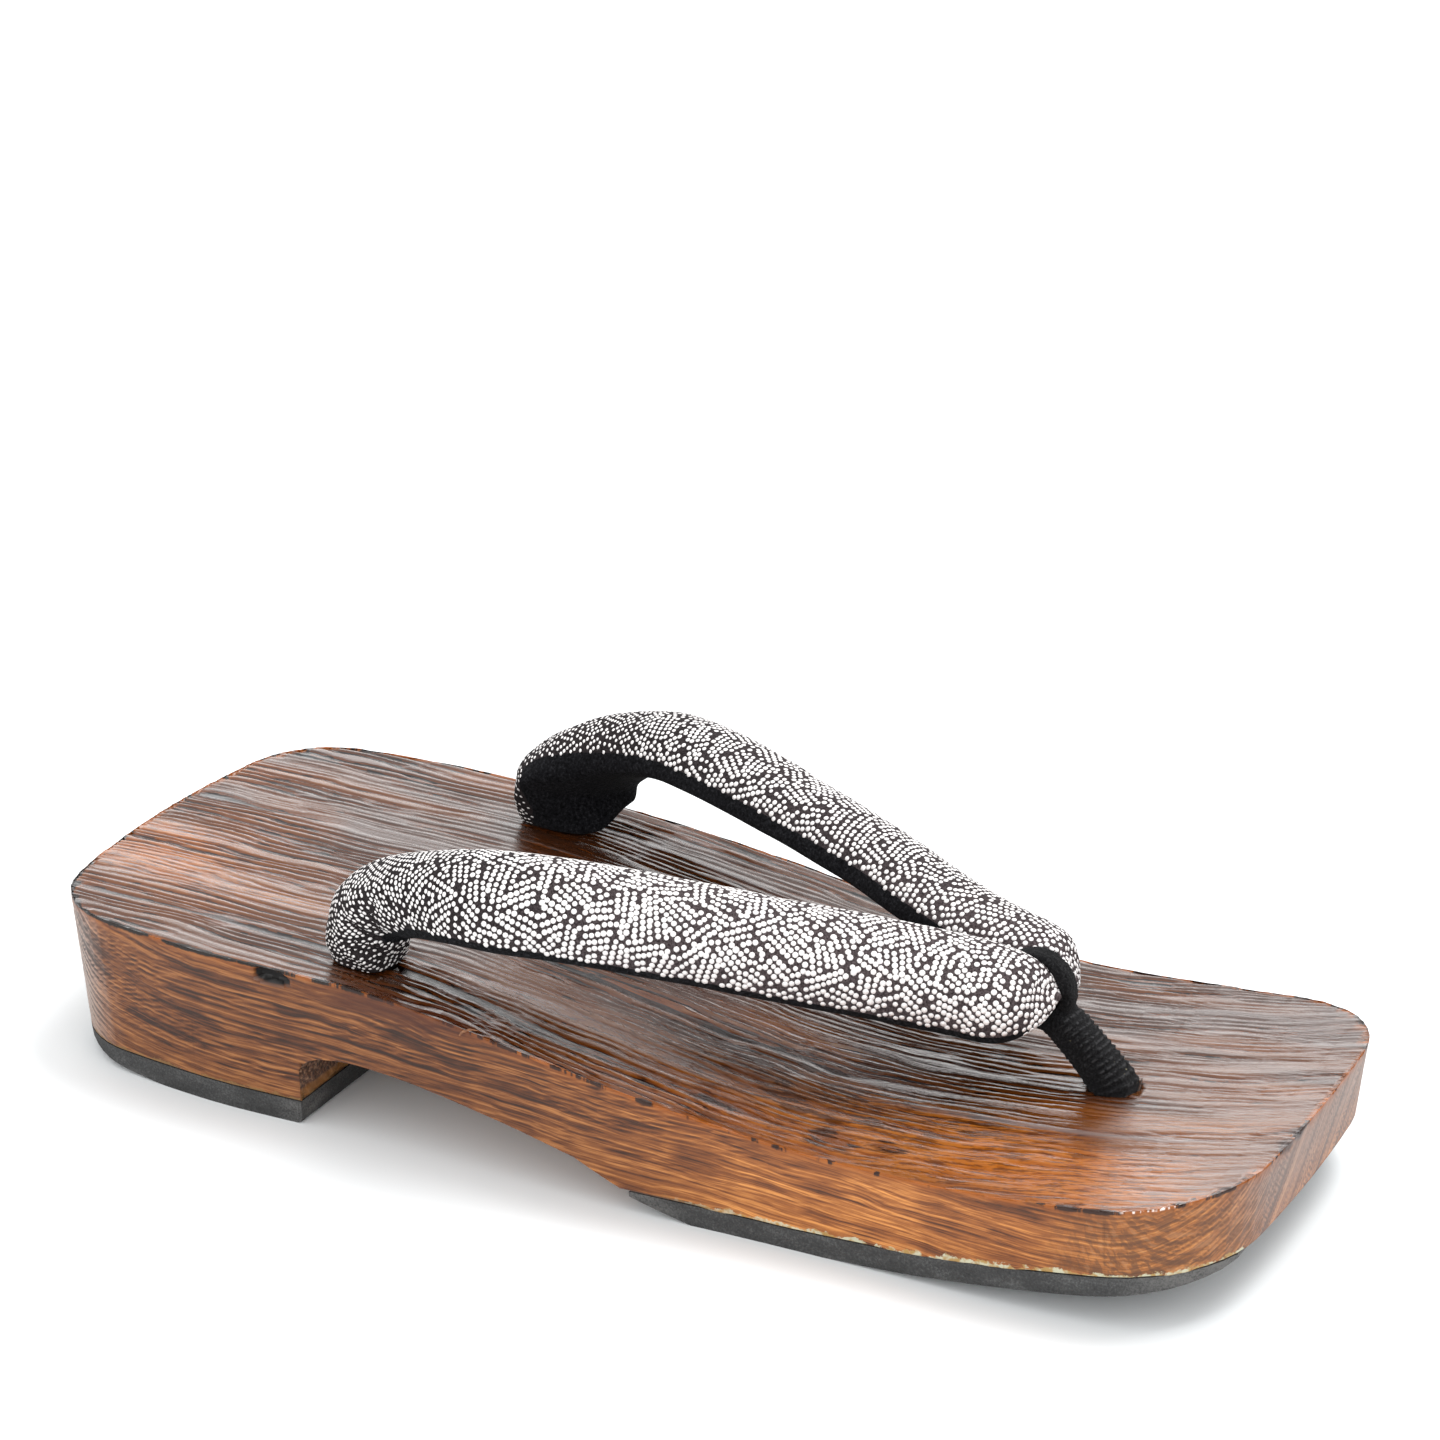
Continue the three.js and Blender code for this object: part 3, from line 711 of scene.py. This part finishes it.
def build_splinters():
    """Two lifted slivers of wood: one on the near top edge and one at the front hole's rim."""
    pale_stops = ((0.35, (0.10, 0.034, 0.012)), (0.65, (0.34, 0.14, 0.050)))
    dark_stops = ((0.35, (0.012, 0.006, 0.004)), (0.65, (0.060, 0.026, 0.014)))
    pale = noisy_material("split_wood", (0.5, 2.5, 2.5), 3, 0.5, pale_stops, 0.1, Roughness=0.5)
    dark = noisy_material("dark_split_wood", (1.5, 2.5, 1.5), 3, 0.5, dark_stops, 0.1, Roughness=0.5)
    at_edge = (-25.6, -52.5, 30.2), (-24.6, -52.9, 31.4), (-23.0, -52.9, 32.3), (-21.2, -52.5, 32.3)
    at_hole = (95.5, -1.2, 23.4), (95.6, -0.4, 24.2), (95.5, 0.4, 24.8), (95.4, 1.4, 25.6)
    for name, rows, material in (("splinter_near", at_edge, pale), ("splinter_hole", at_hole, dark)):
        t = np.linspace(0, 1, 14)
        path = catmull(np.array(rows), t)
        wide = 0.60 * np.sin(np.pi * (0.12 + 0.84 * t)) * (1 + 0.25 * noise(51, t * 9))
        along = unit(np.gradient(path, axis=0))
        u = unit(np.cross(along, [0.1, 1.0, 0.2]))
        v = np.cross(along, u)
        rings = path[:, None] + wide[:, None, None] * round_line(0.5 * u, 0.22 * v, turn_of(6)[None])
        obj = outward(make_object(name, rings.reshape(-1, 3), tube_faces(14, 6), [material]))
        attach(obj, "root")


# ---------------------------------------------------------------- strap

def arm_frame(side, t):
    """Centre, across and out directions, and sizes of the strap's sections at t, from 0 to 1."""
    row = dict(zip(ARM_COLUMNS, catmull(ARM, t).T))
    step = 1e-4
    ahead = catmull(ARM, np.minimum(t + step, 1))[:, :3]
    behind = catmull(ARM, np.maximum(t - step, 0))[:, :3]
    along = unit(ahead - behind)
    swing, dip = np.radians(row["swing"]), np.radians(row["dip"])
    across = np.stack([np.sin(swing) * np.cos(dip), np.cos(swing) * np.cos(dip), -np.sin(dip)], -1)
    out = unit(np.cross(across, along))
    centre = np.stack([row["x"], row["y"], row["z"]], -1)
    mirror = np.array([1, side, 1])
    return centre * mirror, across * mirror, out * mirror, row


def cloth_limits(side, t):
    """The angles round a section where the printed cloth starts and ends; the lining fills the rest."""
    bend = smooth(0.72, 0.77, t) * smooth(0.85, 0.80, t)
    nose = smooth(0.13, 0.03, t)
    if side == NEAR:
        return 0.05 + 0.15 * bend - 0.55 * smooth(0.79, 0.84, t) - 1.1 * nose, np.pi + 0.62 * smooth(0.76, 0.84, t)
    high = np.pi - 0.15 * smooth(0.08, 0.22, t) * smooth(0.80, 0.72, t) + 1.05 * smooth(0.76, 0.86, t)
    return 0.05 + 0.45 * smooth(0.78, 0.86, t) - 1.1 * nose, high


def fold_of(side, t):
    """How far the outer edge is drawn in where the strap folds down, and how square the stem is below."""
    if side == NEAR:
        tuck = 4.4 * smooth(0.54, 0.68, t) * smooth(0.84, 0.76, t) + 2.2 * smooth(0.76, 0.84, t)
        return tuck, 0.35 * smooth(0.80, 0.90, t)
    return -3.8 * smooth(0.68, 0.77, t) * smooth(1.06, 0.88, t), 0.0


def strap_points(side, t, angle):
    """Points of the strap: the dome from angle 0 at the outer edge to pi at the inner one, then the lining."""
    centre, across, out, row = arm_frame(side, t)
    cos, sin = np.cos(angle), np.sin(angle)
    tuck, square = fold_of(side, t)
    u = row["wide"] / 2 * np.sign(cos) * np.abs(cos) ** (1 - square) - tuck * smooth(0.1, 1, cos)
    v = np.where(
        sin > 0, row["puff"] * np.abs(sin) ** (DOME_POWER - square), -row["belly"] * np.abs(sin) ** LINING_POWER
    )
    flat = centre + across * u[:, None] + out * v[:, None]
    push = 0.14 * noise(21, flat[:, 0] / 9, flat[:, 1] / 6, flat[:, 2] / 6) - crease_depth(side, t, angle)
    away = unit(flat - centre - out * (0.25 * row["puff"])[:, None])
    return flat + away * push[:, None]


CREASES = {  # start and end as place along the strap and angle; width and depth in mm
    NEAR: (
        ((0.775, 0.30), (0.745, 1.55), 1.2, 0.60),
        ((0.82, 0.35), (0.83, 1.35), 1.1, 0.35),
        ((0.74, 0.25), (0.69, 0.95), 1.4, 0.40),
        ((0.88, 0.30), (0.90, 1.60), 1.2, 0.35),
    ),
    FAR: (
        ((0.78, 2.60), (0.765, 1.50), 1.3, 0.70),
        ((0.84, 2.75), (0.83, 1.80), 1.2, 0.50),
        ((0.73, 2.70), (0.70, 2.00), 1.5, 0.35),
    ),
}


def crease_depth(side, t, angle):
    """Soft troughs where the strap is folded down to its rear hole, each with a low ridge beside it."""
    total = 0
    scale = np.array([STRAP_LENGTH, 11.0])
    for start, end, width, depth in CREASES[side]:
        a, b = np.array(start) * scale, np.array(end) * scale
        p = np.stack([t * scale[0], angle * scale[1]], -1)
        share = np.clip((p - a) @ (b - a) / ((b - a) @ (b - a)), 0, 1)
        gap = np.linalg.norm(p - a - share[:, None] * (b - a), axis=1)
        fade = 1 - 0.7 * share
        trough = np.exp(-((gap / width) ** 2))
        ridge = np.exp(-(((gap - 2.2 * width) / width) ** 2))
        total = total + depth * fade * (trough - 0.35 * ridge)
    return total


def build_arm(side, name, cloth, lining):
    cloth_sides, lining_sides = 40, 20
    sides = cloth_sides + lining_sides
    ring_t = np.linspace(0, 1, 190)
    low, high = cloth_limits(side, ring_t)
    share = np.arange(cloth_sides) / cloth_sides
    back = np.arange(lining_sides) / lining_sides
    angle = np.hstack([
        low[:, None] + (high - low)[:, None] * share,
        high[:, None] + (low + 2 * np.pi - high)[:, None] * back,
    ])
    t = np.repeat(ring_t, sides)
    rings = strap_points(side, t, angle.ravel()).reshape(len(ring_t), sides, 3)
    middle = rings[0].mean(0)
    front = [middle + (rings[0] - middle) * s + np.array([f, 0, 0]) for s, f in ((0.35, 0.8), (0.75, 0.5))]
    rings = np.concatenate([np.array(front), rings])
    faces = tube_faces(len(rings), sides)
    index = [int(i % sides >= cloth_sides) for i in range((len(rings) - 1) * sides)] + [0, 1]
    obj = make_object(name, rings.reshape(-1, 3), faces, [cloth, lining], index)
    return outward(obj)


def flat_map(side):
    """The cloth unrolled: lengths along the crown and across from it, on a fine grid."""
    t = np.linspace(0, 1, 460)
    low, high = cloth_limits(side, t)
    angle = low[:, None] + (high - low)[:, None] * np.linspace(0, 1, 110)
    grid = strap_points(side, np.repeat(t, 110), angle.ravel()).reshape(len(t), 110, 3)
    crown = strap_points(side, t, np.full(len(t), np.pi / 2))
    along = lengths_along(crown)
    step = np.linalg.norm(np.diff(grid, axis=1), axis=2)
    across = np.hstack([np.zeros((len(t), 1)), np.cumsum(step, 1)])
    across -= np.array([[np.interp(np.pi / 2, a, c)] for a, c in zip(angle, across)])
    return t, angle, along, across


def fan_dots(rng, length, half):
    """Flat places of the dots: the cloth is a net of triangles, each filled with a fan of rows."""
    nx, ny = int(length / NET) + 4, int(2 * half / (0.87 * NET)) + 4
    nodes = {}
    for i in range(nx):
        for j in range(ny):
            jitter = rng.uniform(-0.20, 0.20, 2) * NET
            at = np.array([(i - 1.5 + 0.5 * (j % 2)) * NET, -half + (j - 1.2) * 0.87 * NET])
            nodes[i, j] = at + jitter
    triangles = []
    for i in range(nx - 1):
        for j in range(ny - 1):
            a, b, c, d = (i, j), (i + 1, j), (i, j + 1), (i + 1, j + 1)
            triangles += [(a, b, c), (b, d, c)] if j % 2 == 0 else [(a, b, d), (a, d, c)]
    dots = [np.array(list(nodes.values()))]
    for triangle in triangles:
        turn = int(rng.integers(3))
        apex, p, q = (nodes[triangle[(turn + k) % 3]] for k in range(3))
        middle = (p + q) / 2 - apex
        height = np.linalg.norm(middle)
        aim = np.arctan2(middle[1], middle[0])
        behind = rng.uniform(14, 40)
        start = apex - unit(middle) * behind
        step = ROW_PITCH / (behind + 0.62 * height)
        rays = (np.arange(-9, 10) + rng.uniform(-0.3, 0.3)) * step
        for n, ray in enumerate(rays):
            direction = np.array([np.cos(aim + ray), np.sin(aim + ray)])
            shift = 0.5 * (n % 2) + rng.uniform(-0.15, 0.15)
            reach = np.arange(0, 18) * DOT_PITCH + shift * DOT_PITCH + behind
            dots.append(clipped(start + reach[:, None] * direction, (apex, p, q)))
    dots = np.concatenate(dots)
    dots = dots + rng.normal(0, 0.06, dots.shape)
    return dots[(dots[:, 0] > 0.2) & (dots[:, 0] < length)]


def clipped(points, corners):
    """The points that are inside a triangle, or a little outside it."""
    keep = np.ones(len(points), bool)
    middle = sum(corners) / 3
    for k in range(3):
        a, b = corners[k], corners[(k + 1) % 3]
        normal = np.array([-(b - a)[1], (b - a)[0]])
        normal = unit(normal) * np.sign(np.dot(normal, middle - a))
        keep &= (points - a) @ normal > -0.35
    return points[keep]


def squeeze(s, length):
    """How much closer the print lies where the strap turns down to its rear hole."""
    return 1 + 0.35 * smooth(0.62, 0.80, s / length) + 0.20 * smooth(0.86, 0.97, s / length)


def place_dots(side, rng, other_arm):
    """Centres, outward and lengthwise directions and lengthwise squeeze of the dots on one arm."""
    t, angle, along, across = flat_map(side)
    half = float(np.abs(across).max())
    squeezed = np.concatenate([[0], np.cumsum(np.diff(along) * squeeze(along[1:], along[-1]))])
    flat = fan_dots(rng, squeezed[-1], half * 1.1)
    dot_t = np.interp(flat[:, 0], squeezed, t)
    ring = np.clip(np.searchsorted(t, dot_t), 0, len(t) - 1)
    off_cloth = -9
    dot_angle = np.array([
        np.interp(a, across[i], angle[i], left=off_cloth, right=off_cloth) for a, i in zip(flat[:, 1], ring)
    ])
    dot_t, dot_angle = dot_t[dot_angle > off_cloth], dot_angle[dot_angle > off_cloth]
    nose_t, nose_angle = np.meshgrid(np.linspace(0.001, 0.13, 22), np.linspace(-0.95, np.pi + 0.3, 60))
    nose_t = nose_t.ravel() + rng.uniform(-0.001, 0.001, nose_t.size)
    dot_t, dot_angle = np.append(dot_t, nose_t), np.append(dot_angle, nose_angle.ravel())
    at = strap_points(side, dot_t, dot_angle)
    e = 0.004
    a_step = strap_points(side, dot_t, dot_angle + 4 * e) - strap_points(side, dot_t, dot_angle - 4 * e)
    t_step = strap_points(side, np.minimum(dot_t + e, 1), dot_angle)
    t_step = t_step - strap_points(side, np.maximum(dot_t - e, 0), dot_angle)
    out = unit(np.cross(a_step, t_step)) * side
    kept = []
    cells = {}
    tightness = squeeze(np.interp(dot_t, t, along), along[-1])
    for i, p in enumerate(at):
        gap = 0.86 * DOT_ACROSS / np.sqrt(tightness[i])
        key = tuple(np.floor(p / DOT_ACROSS).astype(int))
        steps = itertools.product((-1, 0, 1), repeat=3)
        near = (cells.get(tuple(k + d for k, d in zip(key, step)), ()) for step in steps)
        if any(np.linalg.norm(at[j] - p) < gap for group in near for j in group) or is_inside(other_arm, p):
            continue
        cells.setdefault(key, []).append(i)
        kept.append(i)
    return at[kept], out[kept], unit(t_step[kept]), tightness[kept]


def is_inside(tree, point):
    """True if a point in millimetres is inside a closed mesh."""
    nearest, normal, _, distance = tree.find_nearest(Vector(point) * MM)
    if nearest is None or distance > 12 * MM:
        return False
    return (Vector(point) * MM - nearest).dot(normal) < 0


def build_dots(name, at, out, along, tightness, across, rng, material):
    """Low round beads of print, all in one mesh."""
    sides = 8
    profile = ((0.50, -0.10), (0.47, 0.55), (0.26, 0.92))  # share of the width, share of the height
    v = unit(np.cross(out, along))
    u = np.cross(v, out) / tightness[:, None]
    size = across * (1 - 0.50 * (tightness - 1)) * (1 + rng.normal(0, 0.07, len(at)))
    lift = out * (DOT_HIGH * (1 + rng.normal(0, 0.12, len(at))))[:, None]
    circle = round_line(u, v, turn_of(sides)[None])
    rings = [(at + lift * level)[:, None] + circle * (size * share)[:, None, None] for share, level in profile]
    points = np.concatenate([*rings, (at + lift)[:, None], (at - 0.1 * lift)[:, None]], 1)
    each = points.shape[1]
    faces = []
    for j in range(sides):
        k = (j + 1) % sides
        faces.append((each - 1, k, j))
        for r in range(len(profile) - 1):
            faces.append((r * sides + j, r * sides + k, (r + 1) * sides + k, (r + 1) * sides + j))
        top = (len(profile) - 1) * sides
        faces.append((top + j, top + k, each - 2))
    all_faces = [tuple(v + i * each for v in f) for i in range(len(at)) for f in faces]
    return make_object(name, points.reshape(-1, 3), all_faces, [material])


def tree_of(obj):
    bm = bmesh.new()
    bm.from_mesh(obj.data)
    tree = BVHTree.FromBMesh(bm)
    bm.free()
    return tree


def build_strap():
    cloth, lining, dot = cloth_material(), lining_material(), dot_material()
    arms = {side: build_arm(side, name, cloth, lining) for side, name in ((NEAR, "strap_near"), (FAR, "strap_far"))}
    rng = np.random.default_rng(7)
    for side, name, across in ((NEAR, "strap_dots_near", DOT_ACROSS), (FAR, "strap_dots_far", 0.90 * DOT_ACROSS)):
        at, out, along, tightness = place_dots(side, rng, tree_of(arms[-side]))
        dots = build_dots(name, at, out, along, tightness, across, rng, dot)
        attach(dots, "root")
        print(name, len(at), "dots")
    for arm in arms.values():
        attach(arm, "root")
        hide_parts("hanao")


def cloth_material():
    n = Nodes("strap_ground")
    place = n.position()
    x, y, _ = place
    weave = n.noise(place, 3.0, 3)
    dark = n.ramp(weave, ((0.35, (0.006, 0.005, 0.005)), (0.7, (0.036, 0.029, 0.031))))
    # the ground between the dots is lighter towards the front, most of all on the near arm
    lighter_ground = n.ramp(weave, ((0.35, (0.022, 0.016, 0.017)), (0.7, (0.100, 0.080, 0.083))))
    colour = n.mix(n.mul(n.between(x, -42, 15), n.between(y, 14, 4, 0.45, 1.0)), dark, lighter_ground)
    return n.finish(Base_Color=colour, Roughness=0.85, Normal=n.bump(weave, 0.15), Specular_IOR_Level=0.10)


def lining_material():
    stops = ((0.38, (0.0015, 0.0015, 0.002)), (0.56, (0.011, 0.011, 0.013)), (0.70, (0.034, 0.034, 0.038)))
    return noisy_material(
        "strap_lining", 1.6, 4, 0.75, stops, 0.6,
        Roughness=0.95, Specular_IOR_Level=0.06, Sheen_Weight=0.02, Sheen_Roughness=0.4,
    )


def dot_material():
    n = Nodes("strap_dots")
    place = n.position()
    thread = n.noise(place, 4.0, 2)
    patch = n.noise(place, 0.12, 2)
    colour = n.mix(n.between(thread, 0.3, 0.7), (0.80, 0.765, 0.755), (0.94, 0.915, 0.905))
    colour = n.tint(colour, (0.66, 0.61, 0.61), n.between(patch, 0.45, 0.75, 0, 0.2))
    return n.finish(Base_Color=colour, Roughness=0.55, Normal=n.bump(thread, 0.12))


# ---------------------------------------------------------------- thong

def band_rings(path, tangents, wide, thick, sides, ribs=0.0):
    normal = np.stack([-tangents[:, 1], np.zeros(len(path)), tangents[:, 0]], -1)
    a = turn_of(sides, 0.5)
    u = np.sign(np.cos(a)) * np.abs(np.cos(a)) ** 0.7
    v = np.sign(np.sin(a)) * np.abs(np.sin(a)) ** 0.7
    centre = np.stack([path[:, 0], np.zeros(len(path)), path[:, 1]], -1)
    y = (wide[:, None] / 2 + ribs) * u[None]
    out = (thick[:, None] / 2 + ribs) * v[None]
    rings = centre[:, None] + normal[:, None] * out[..., None]
    rings[..., 1] += y
    return rings


def build_thong():
    material = thong_material()
    sides, rings = 44, 240
    t = np.arange(rings) / rings
    path = catmull(LOOP, t, True)
    tangent = unit(np.roll(path, -1, 0) - np.roll(path, 1, 0))
    a = np.arange(sides) / sides
    turn = np.stack([np.cos(2 * np.pi * t), np.sin(2 * np.pi * t)])[:, :, None]
    felt = 0.14 * noise(31, 7 * turn[0], 7 * turn[1], 5 * np.cos(2 * np.pi * a))
    felt = felt + 0.12 * noise(33, 22 * turn[0], 22 * turn[1], 14 * a)
    loop = band_rings(path, tangent, np.full(rings, LOOP_WIDE), np.full(rings, LOOP_THICK), sides, felt)
    loop_obj = outward(make_object("thong_loop", loop.reshape(-1, 3), tube_faces(rings, sides, True), [material]))
    set_attributes(loop_obj.data, rib=np.zeros(rings * sides))

    count = 320
    t = np.linspace(0, 1, count)
    row = catmull(LEG, t)
    length = lengths_along(row[:, :2])[:, None]
    tangent = unit(np.gradient(row[:, :2], axis=0))
    a = turn_of(sides, 0.5)[None]
    wound = smooth(-0.35, 0.45, np.sin(a)) * smooth(2, 5, length)
    wave = 0.5 + 0.5 * np.cos(2 * np.pi * (length / 1.25 - 0.35 * np.cos(a)))
    nap = 0.13 * noise(32, length / 0.4, 9 * np.cos(a), 9 * np.sin(a))
    rib = (0.30 * wave - 0.15) * (0.25 + 0.75 * wound) + nap
    leg = band_rings(row[:, :2], tangent, row[:, 2], row[:, 3], sides, rib)
    leg_obj = outward(make_object("thong_leg", leg.reshape(-1, 3), tube_faces(count, sides), [material]))
    set_attributes(leg_obj.data, rib=(wave * wound).ravel())
    for obj in (loop_obj, leg_obj):
        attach(obj, "root")
        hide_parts("maetsubo")


def thong_material():
    n = Nodes("thong_cloth")
    place = n.position()
    nap = n.noise(place, 2.0, 4, 0.75)
    thread = n.noise(place, (0.9, 1.1, 0.9), 2)
    colour = n.ramp(nap, ((0.36, (0.002, 0.002, 0.0025)), (0.56, (0.011, 0.011, 0.012)), (0.72, (0.036, 0.036, 0.038))))
    # pale grey on the rib crests of the wound face: partly the wrap threads' colour, partly painted highlight, which
    # leaves the other face darker
    on_rib = n.between(n.attribute("rib"), 0.55, 0.95)
    colour = n.tint(colour, (0.060, 0.060, 0.063), on_rib, n.between(thread, 0.42, 0.60), 0.55)
    lint = n.noise(place, 1.1, 0)
    colour = n.tint(colour, (0.42, 0.38, 0.24), n.between(lint, 0.83, 0.85), n.between(place[2], 34, 30))
    return n.finish(
        Base_Color=colour, Roughness=0.92, Normal=n.bump(nap, 0.45), Specular_IOR_Level=0.10,
        Sheen_Weight=0.03, Sheen_Roughness=0.45,
    )


# ---------------------------------------------------------------- ties

CORD_SIDES = 18


def cord_rings(path, along, lie, size, phase):
    """Rings round a path, with the outline of three plies wound round each other."""
    a = turn_of(CORD_SIDES)[None]
    u = unit(np.cross(along, lie))
    plies = 1 - 0.20 * (1 - np.abs(np.cos(1.5 * (a - phase[:, None]))))
    return path[:, None] + (size[:, None] * plies)[..., None] * round_line(u, np.cross(u, along), a)


def build_tie(name, hole, side, top, knot_z, spread, cord, stem, node, material):
    """A strap end: a twisted stem down its hole, an overhand knot under the wood and the short cut end."""
    up = np.array([0.0, 0.0, 1.0])
    axis = np.array([hole["x"], side * hole["y"], 0.0])
    z = np.linspace(top, knot_z, 70)
    down = np.stack([0 * z, 0 * z, z], -1) + axis
    stem_size = stem + (1.5 * cord - stem) * smooth(knot_z + 3.5, knot_z, z)
    parts = [(cord_rings(down, np.tile(-up, (70, 1)), np.array([1.0, 0, 0]), stem_size, z / 2.6), False)]

    turn = turn_of(160)
    k = (spread - cord) / 3
    knot = np.stack([
        k * (np.sin(turn) + 2 * np.sin(2 * turn)),
        side * k * (np.cos(turn) - 2 * np.cos(2 * turn)),
        knot_z - 0.75 * cord * np.sin(3 * turn),
    ], -1) + axis
    along = unit(np.roll(knot, -1, 0) - np.roll(knot, 1, 0))
    parts.append((cord_rings(knot, along, up, np.full(160, cord), 7 * turn), True))

    out = np.linspace(0, 1, 26)
    end = np.stack([
        (spread - 2.4 * cord) + 3.4 * out * cord,
        side * (0.6 + 1.5 * out**2),
        knot_z - 0.5 * cord - 0.2 * out,
    ], -1) + axis
    parts.append((cord_rings(end, unit(np.gradient(end, axis=0)), up, np.full(26, 0.9 * cord), 3.0 * out), False))

    points, faces = [], []
    for rings, is_loop in parts:
        faces += tube_faces(len(rings), CORD_SIDES, is_loop, sum(len(p) for p in points))
        points.append(rings.reshape(-1, 3))
    obj = outward(make_object(name, np.concatenate(points), faces, [material]))
    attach(obj, "root")
    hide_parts(node)


def build_ties():
    stops = ((0.36, (0.006, 0.006, 0.007)), (0.56, (0.022, 0.021, 0.022)), (0.72, (0.060, 0.057, 0.056)))
    cord = noisy_material("tie_cord", 1.8, 4, 0.7, stops, 0.3, Roughness=0.9, Specular_IOR_Level=0.15)
    for side, name in ((NEAR, "strap_tie_near"), (FAR, "strap_tie_far")):
        build_tie(name, REAR_HOLE, side, 36.0, 13.9, 5.9, 1.15, 3.9, "hanao", cord)
    build_tie("thong_tie", FRONT_HOLE, FAR, 18.5, 5.2, 7.0, 1.35, 3.9, "maetsubo", cord)


# ---------------------------------------------------------------- soles and small pieces

def rubber_material():
    n = Nodes("sponge_rubber")
    place = n.position()
    x = place[0]
    speck = n.noise(place, 2.2, 3, 0.7)
    cloud = n.noise(place, (0.1, 0.1, 0.3), 2)
    level = n.add(n.mul(speck, 0.62), n.mul(cloud, 0.38))
    colour = n.ramp(level, ((0.3, (0.016, 0.016, 0.016)), (0.52, (0.046, 0.046, 0.046)), (0.72, (0.115, 0.115, 0.113))))
    # lighter grey on the heel sole's near front corner, the forefoot sole's skived back end and the front end of the
    # forefoot sole: partly wear, partly painted highlight
    heel_corner = n.spot(place, (-66.0, -46.0, 3.0), (5.0, 5.0, 3.0), 0.6)
    skived_edge = n.mul(n.between(x, 24, 12), n.between(x, -20, 0))
    wear_and_highlight = n.math("MAXIMUM", heel_corner, n.between(x, 108, 124), skived_edge)
    colour = n.tint(colour, (0.135, 0.130, 0.125), wear_and_highlight, n.between(level, 0.35, 0.6), 0.8)
    return n.finish(Base_Color=colour, Roughness=0.75, Normal=n.bump(speck, 0.18), Specular_IOR_Level=0.35)


def dress_rubber():
    material = rubber_material()
    for name in ("heel_sole", "forefoot_sole"):
        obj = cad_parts[name]
        obj.data.materials.clear()
        obj.data.materials.append(material)
        bevel = obj.modifiers.new("eased_edges", "BEVEL")
        bevel.width = 0.7 * MM
        bevel.segments = 3
        bevel.limit_method = "ANGLE"
        bevel.angle_limit = math.radians(35)


# ---------------------------------------------------------------- studio

def build_studio():
    world = bpy.data.worlds.new("studio")
    bpy.context.scene.world = world
    world.use_nodes = True
    background = world.node_tree.nodes["Background"]
    background.inputs["Color"].default_value = (1, 1, 1, 1)
    background.inputs["Strength"].default_value = 1.2

    pale = Nodes("pale_floor").finish(Base_Color=(0.872, 0.895, 0.905, 1), Roughness=0.9, Specular_IOR_Level=0.1)
    corners = np.array([(-1, -1, 0), (1, -1, 0), (1, 1, 0), (-1, 1, 0)]) * 3000
    floor = make_object("floor", corners, [(0, 1, 2, 3)], [pale])

    def panel(name, place, width, height, power, is_sheen_only=False):
        light = bpy.data.lights.new(name, "AREA")
        light.shape = "RECTANGLE"
        light.size, light.size_y = width, height
        light.energy = power
        obj = add_to_scene(name, light)
        obj.location = place
        obj.rotation_euler = (-Vector(place)).to_track_quat("-Z", "Y").to_euler()
        obj.visible_diffuse = not is_sheen_only

    panel("key_panel", (0.35, 0.5, 1.3), 0.8, 0.8, 15)
    panel("fill_panel", (0.1, -1.4, 0.55), 1.6, 0.8, 5)
    panel("back_panel", (-0.7, 1.33, 0.5), 2.4, 0.9, 10, is_sheen_only=True)
    bpy.context.scene.view_settings.view_transform = "Standard"


def build_camera():
    azimuth, elevation = math.radians(27.78), math.radians(22.77)
    camera = bpy.data.cameras.new("camera")
    camera.lens = 103.9
    camera.sensor_width = 36
    obj = add_to_scene("camera", camera)
    obj.location = (0.3554, -0.6670, 0.3995)
    back = Vector((
        math.sin(azimuth) * math.cos(elevation), -math.cos(azimuth) * math.cos(elevation), math.sin(elevation)
    ))
    obj.rotation_euler = (-back).to_track_quat("-Z", "Y").to_euler()
    bpy.context.scene.camera = obj


build_camera()
build_studio()
build_wood()
build_splinters()
dress_rubber()
build_strap()
build_thong()
build_ties()
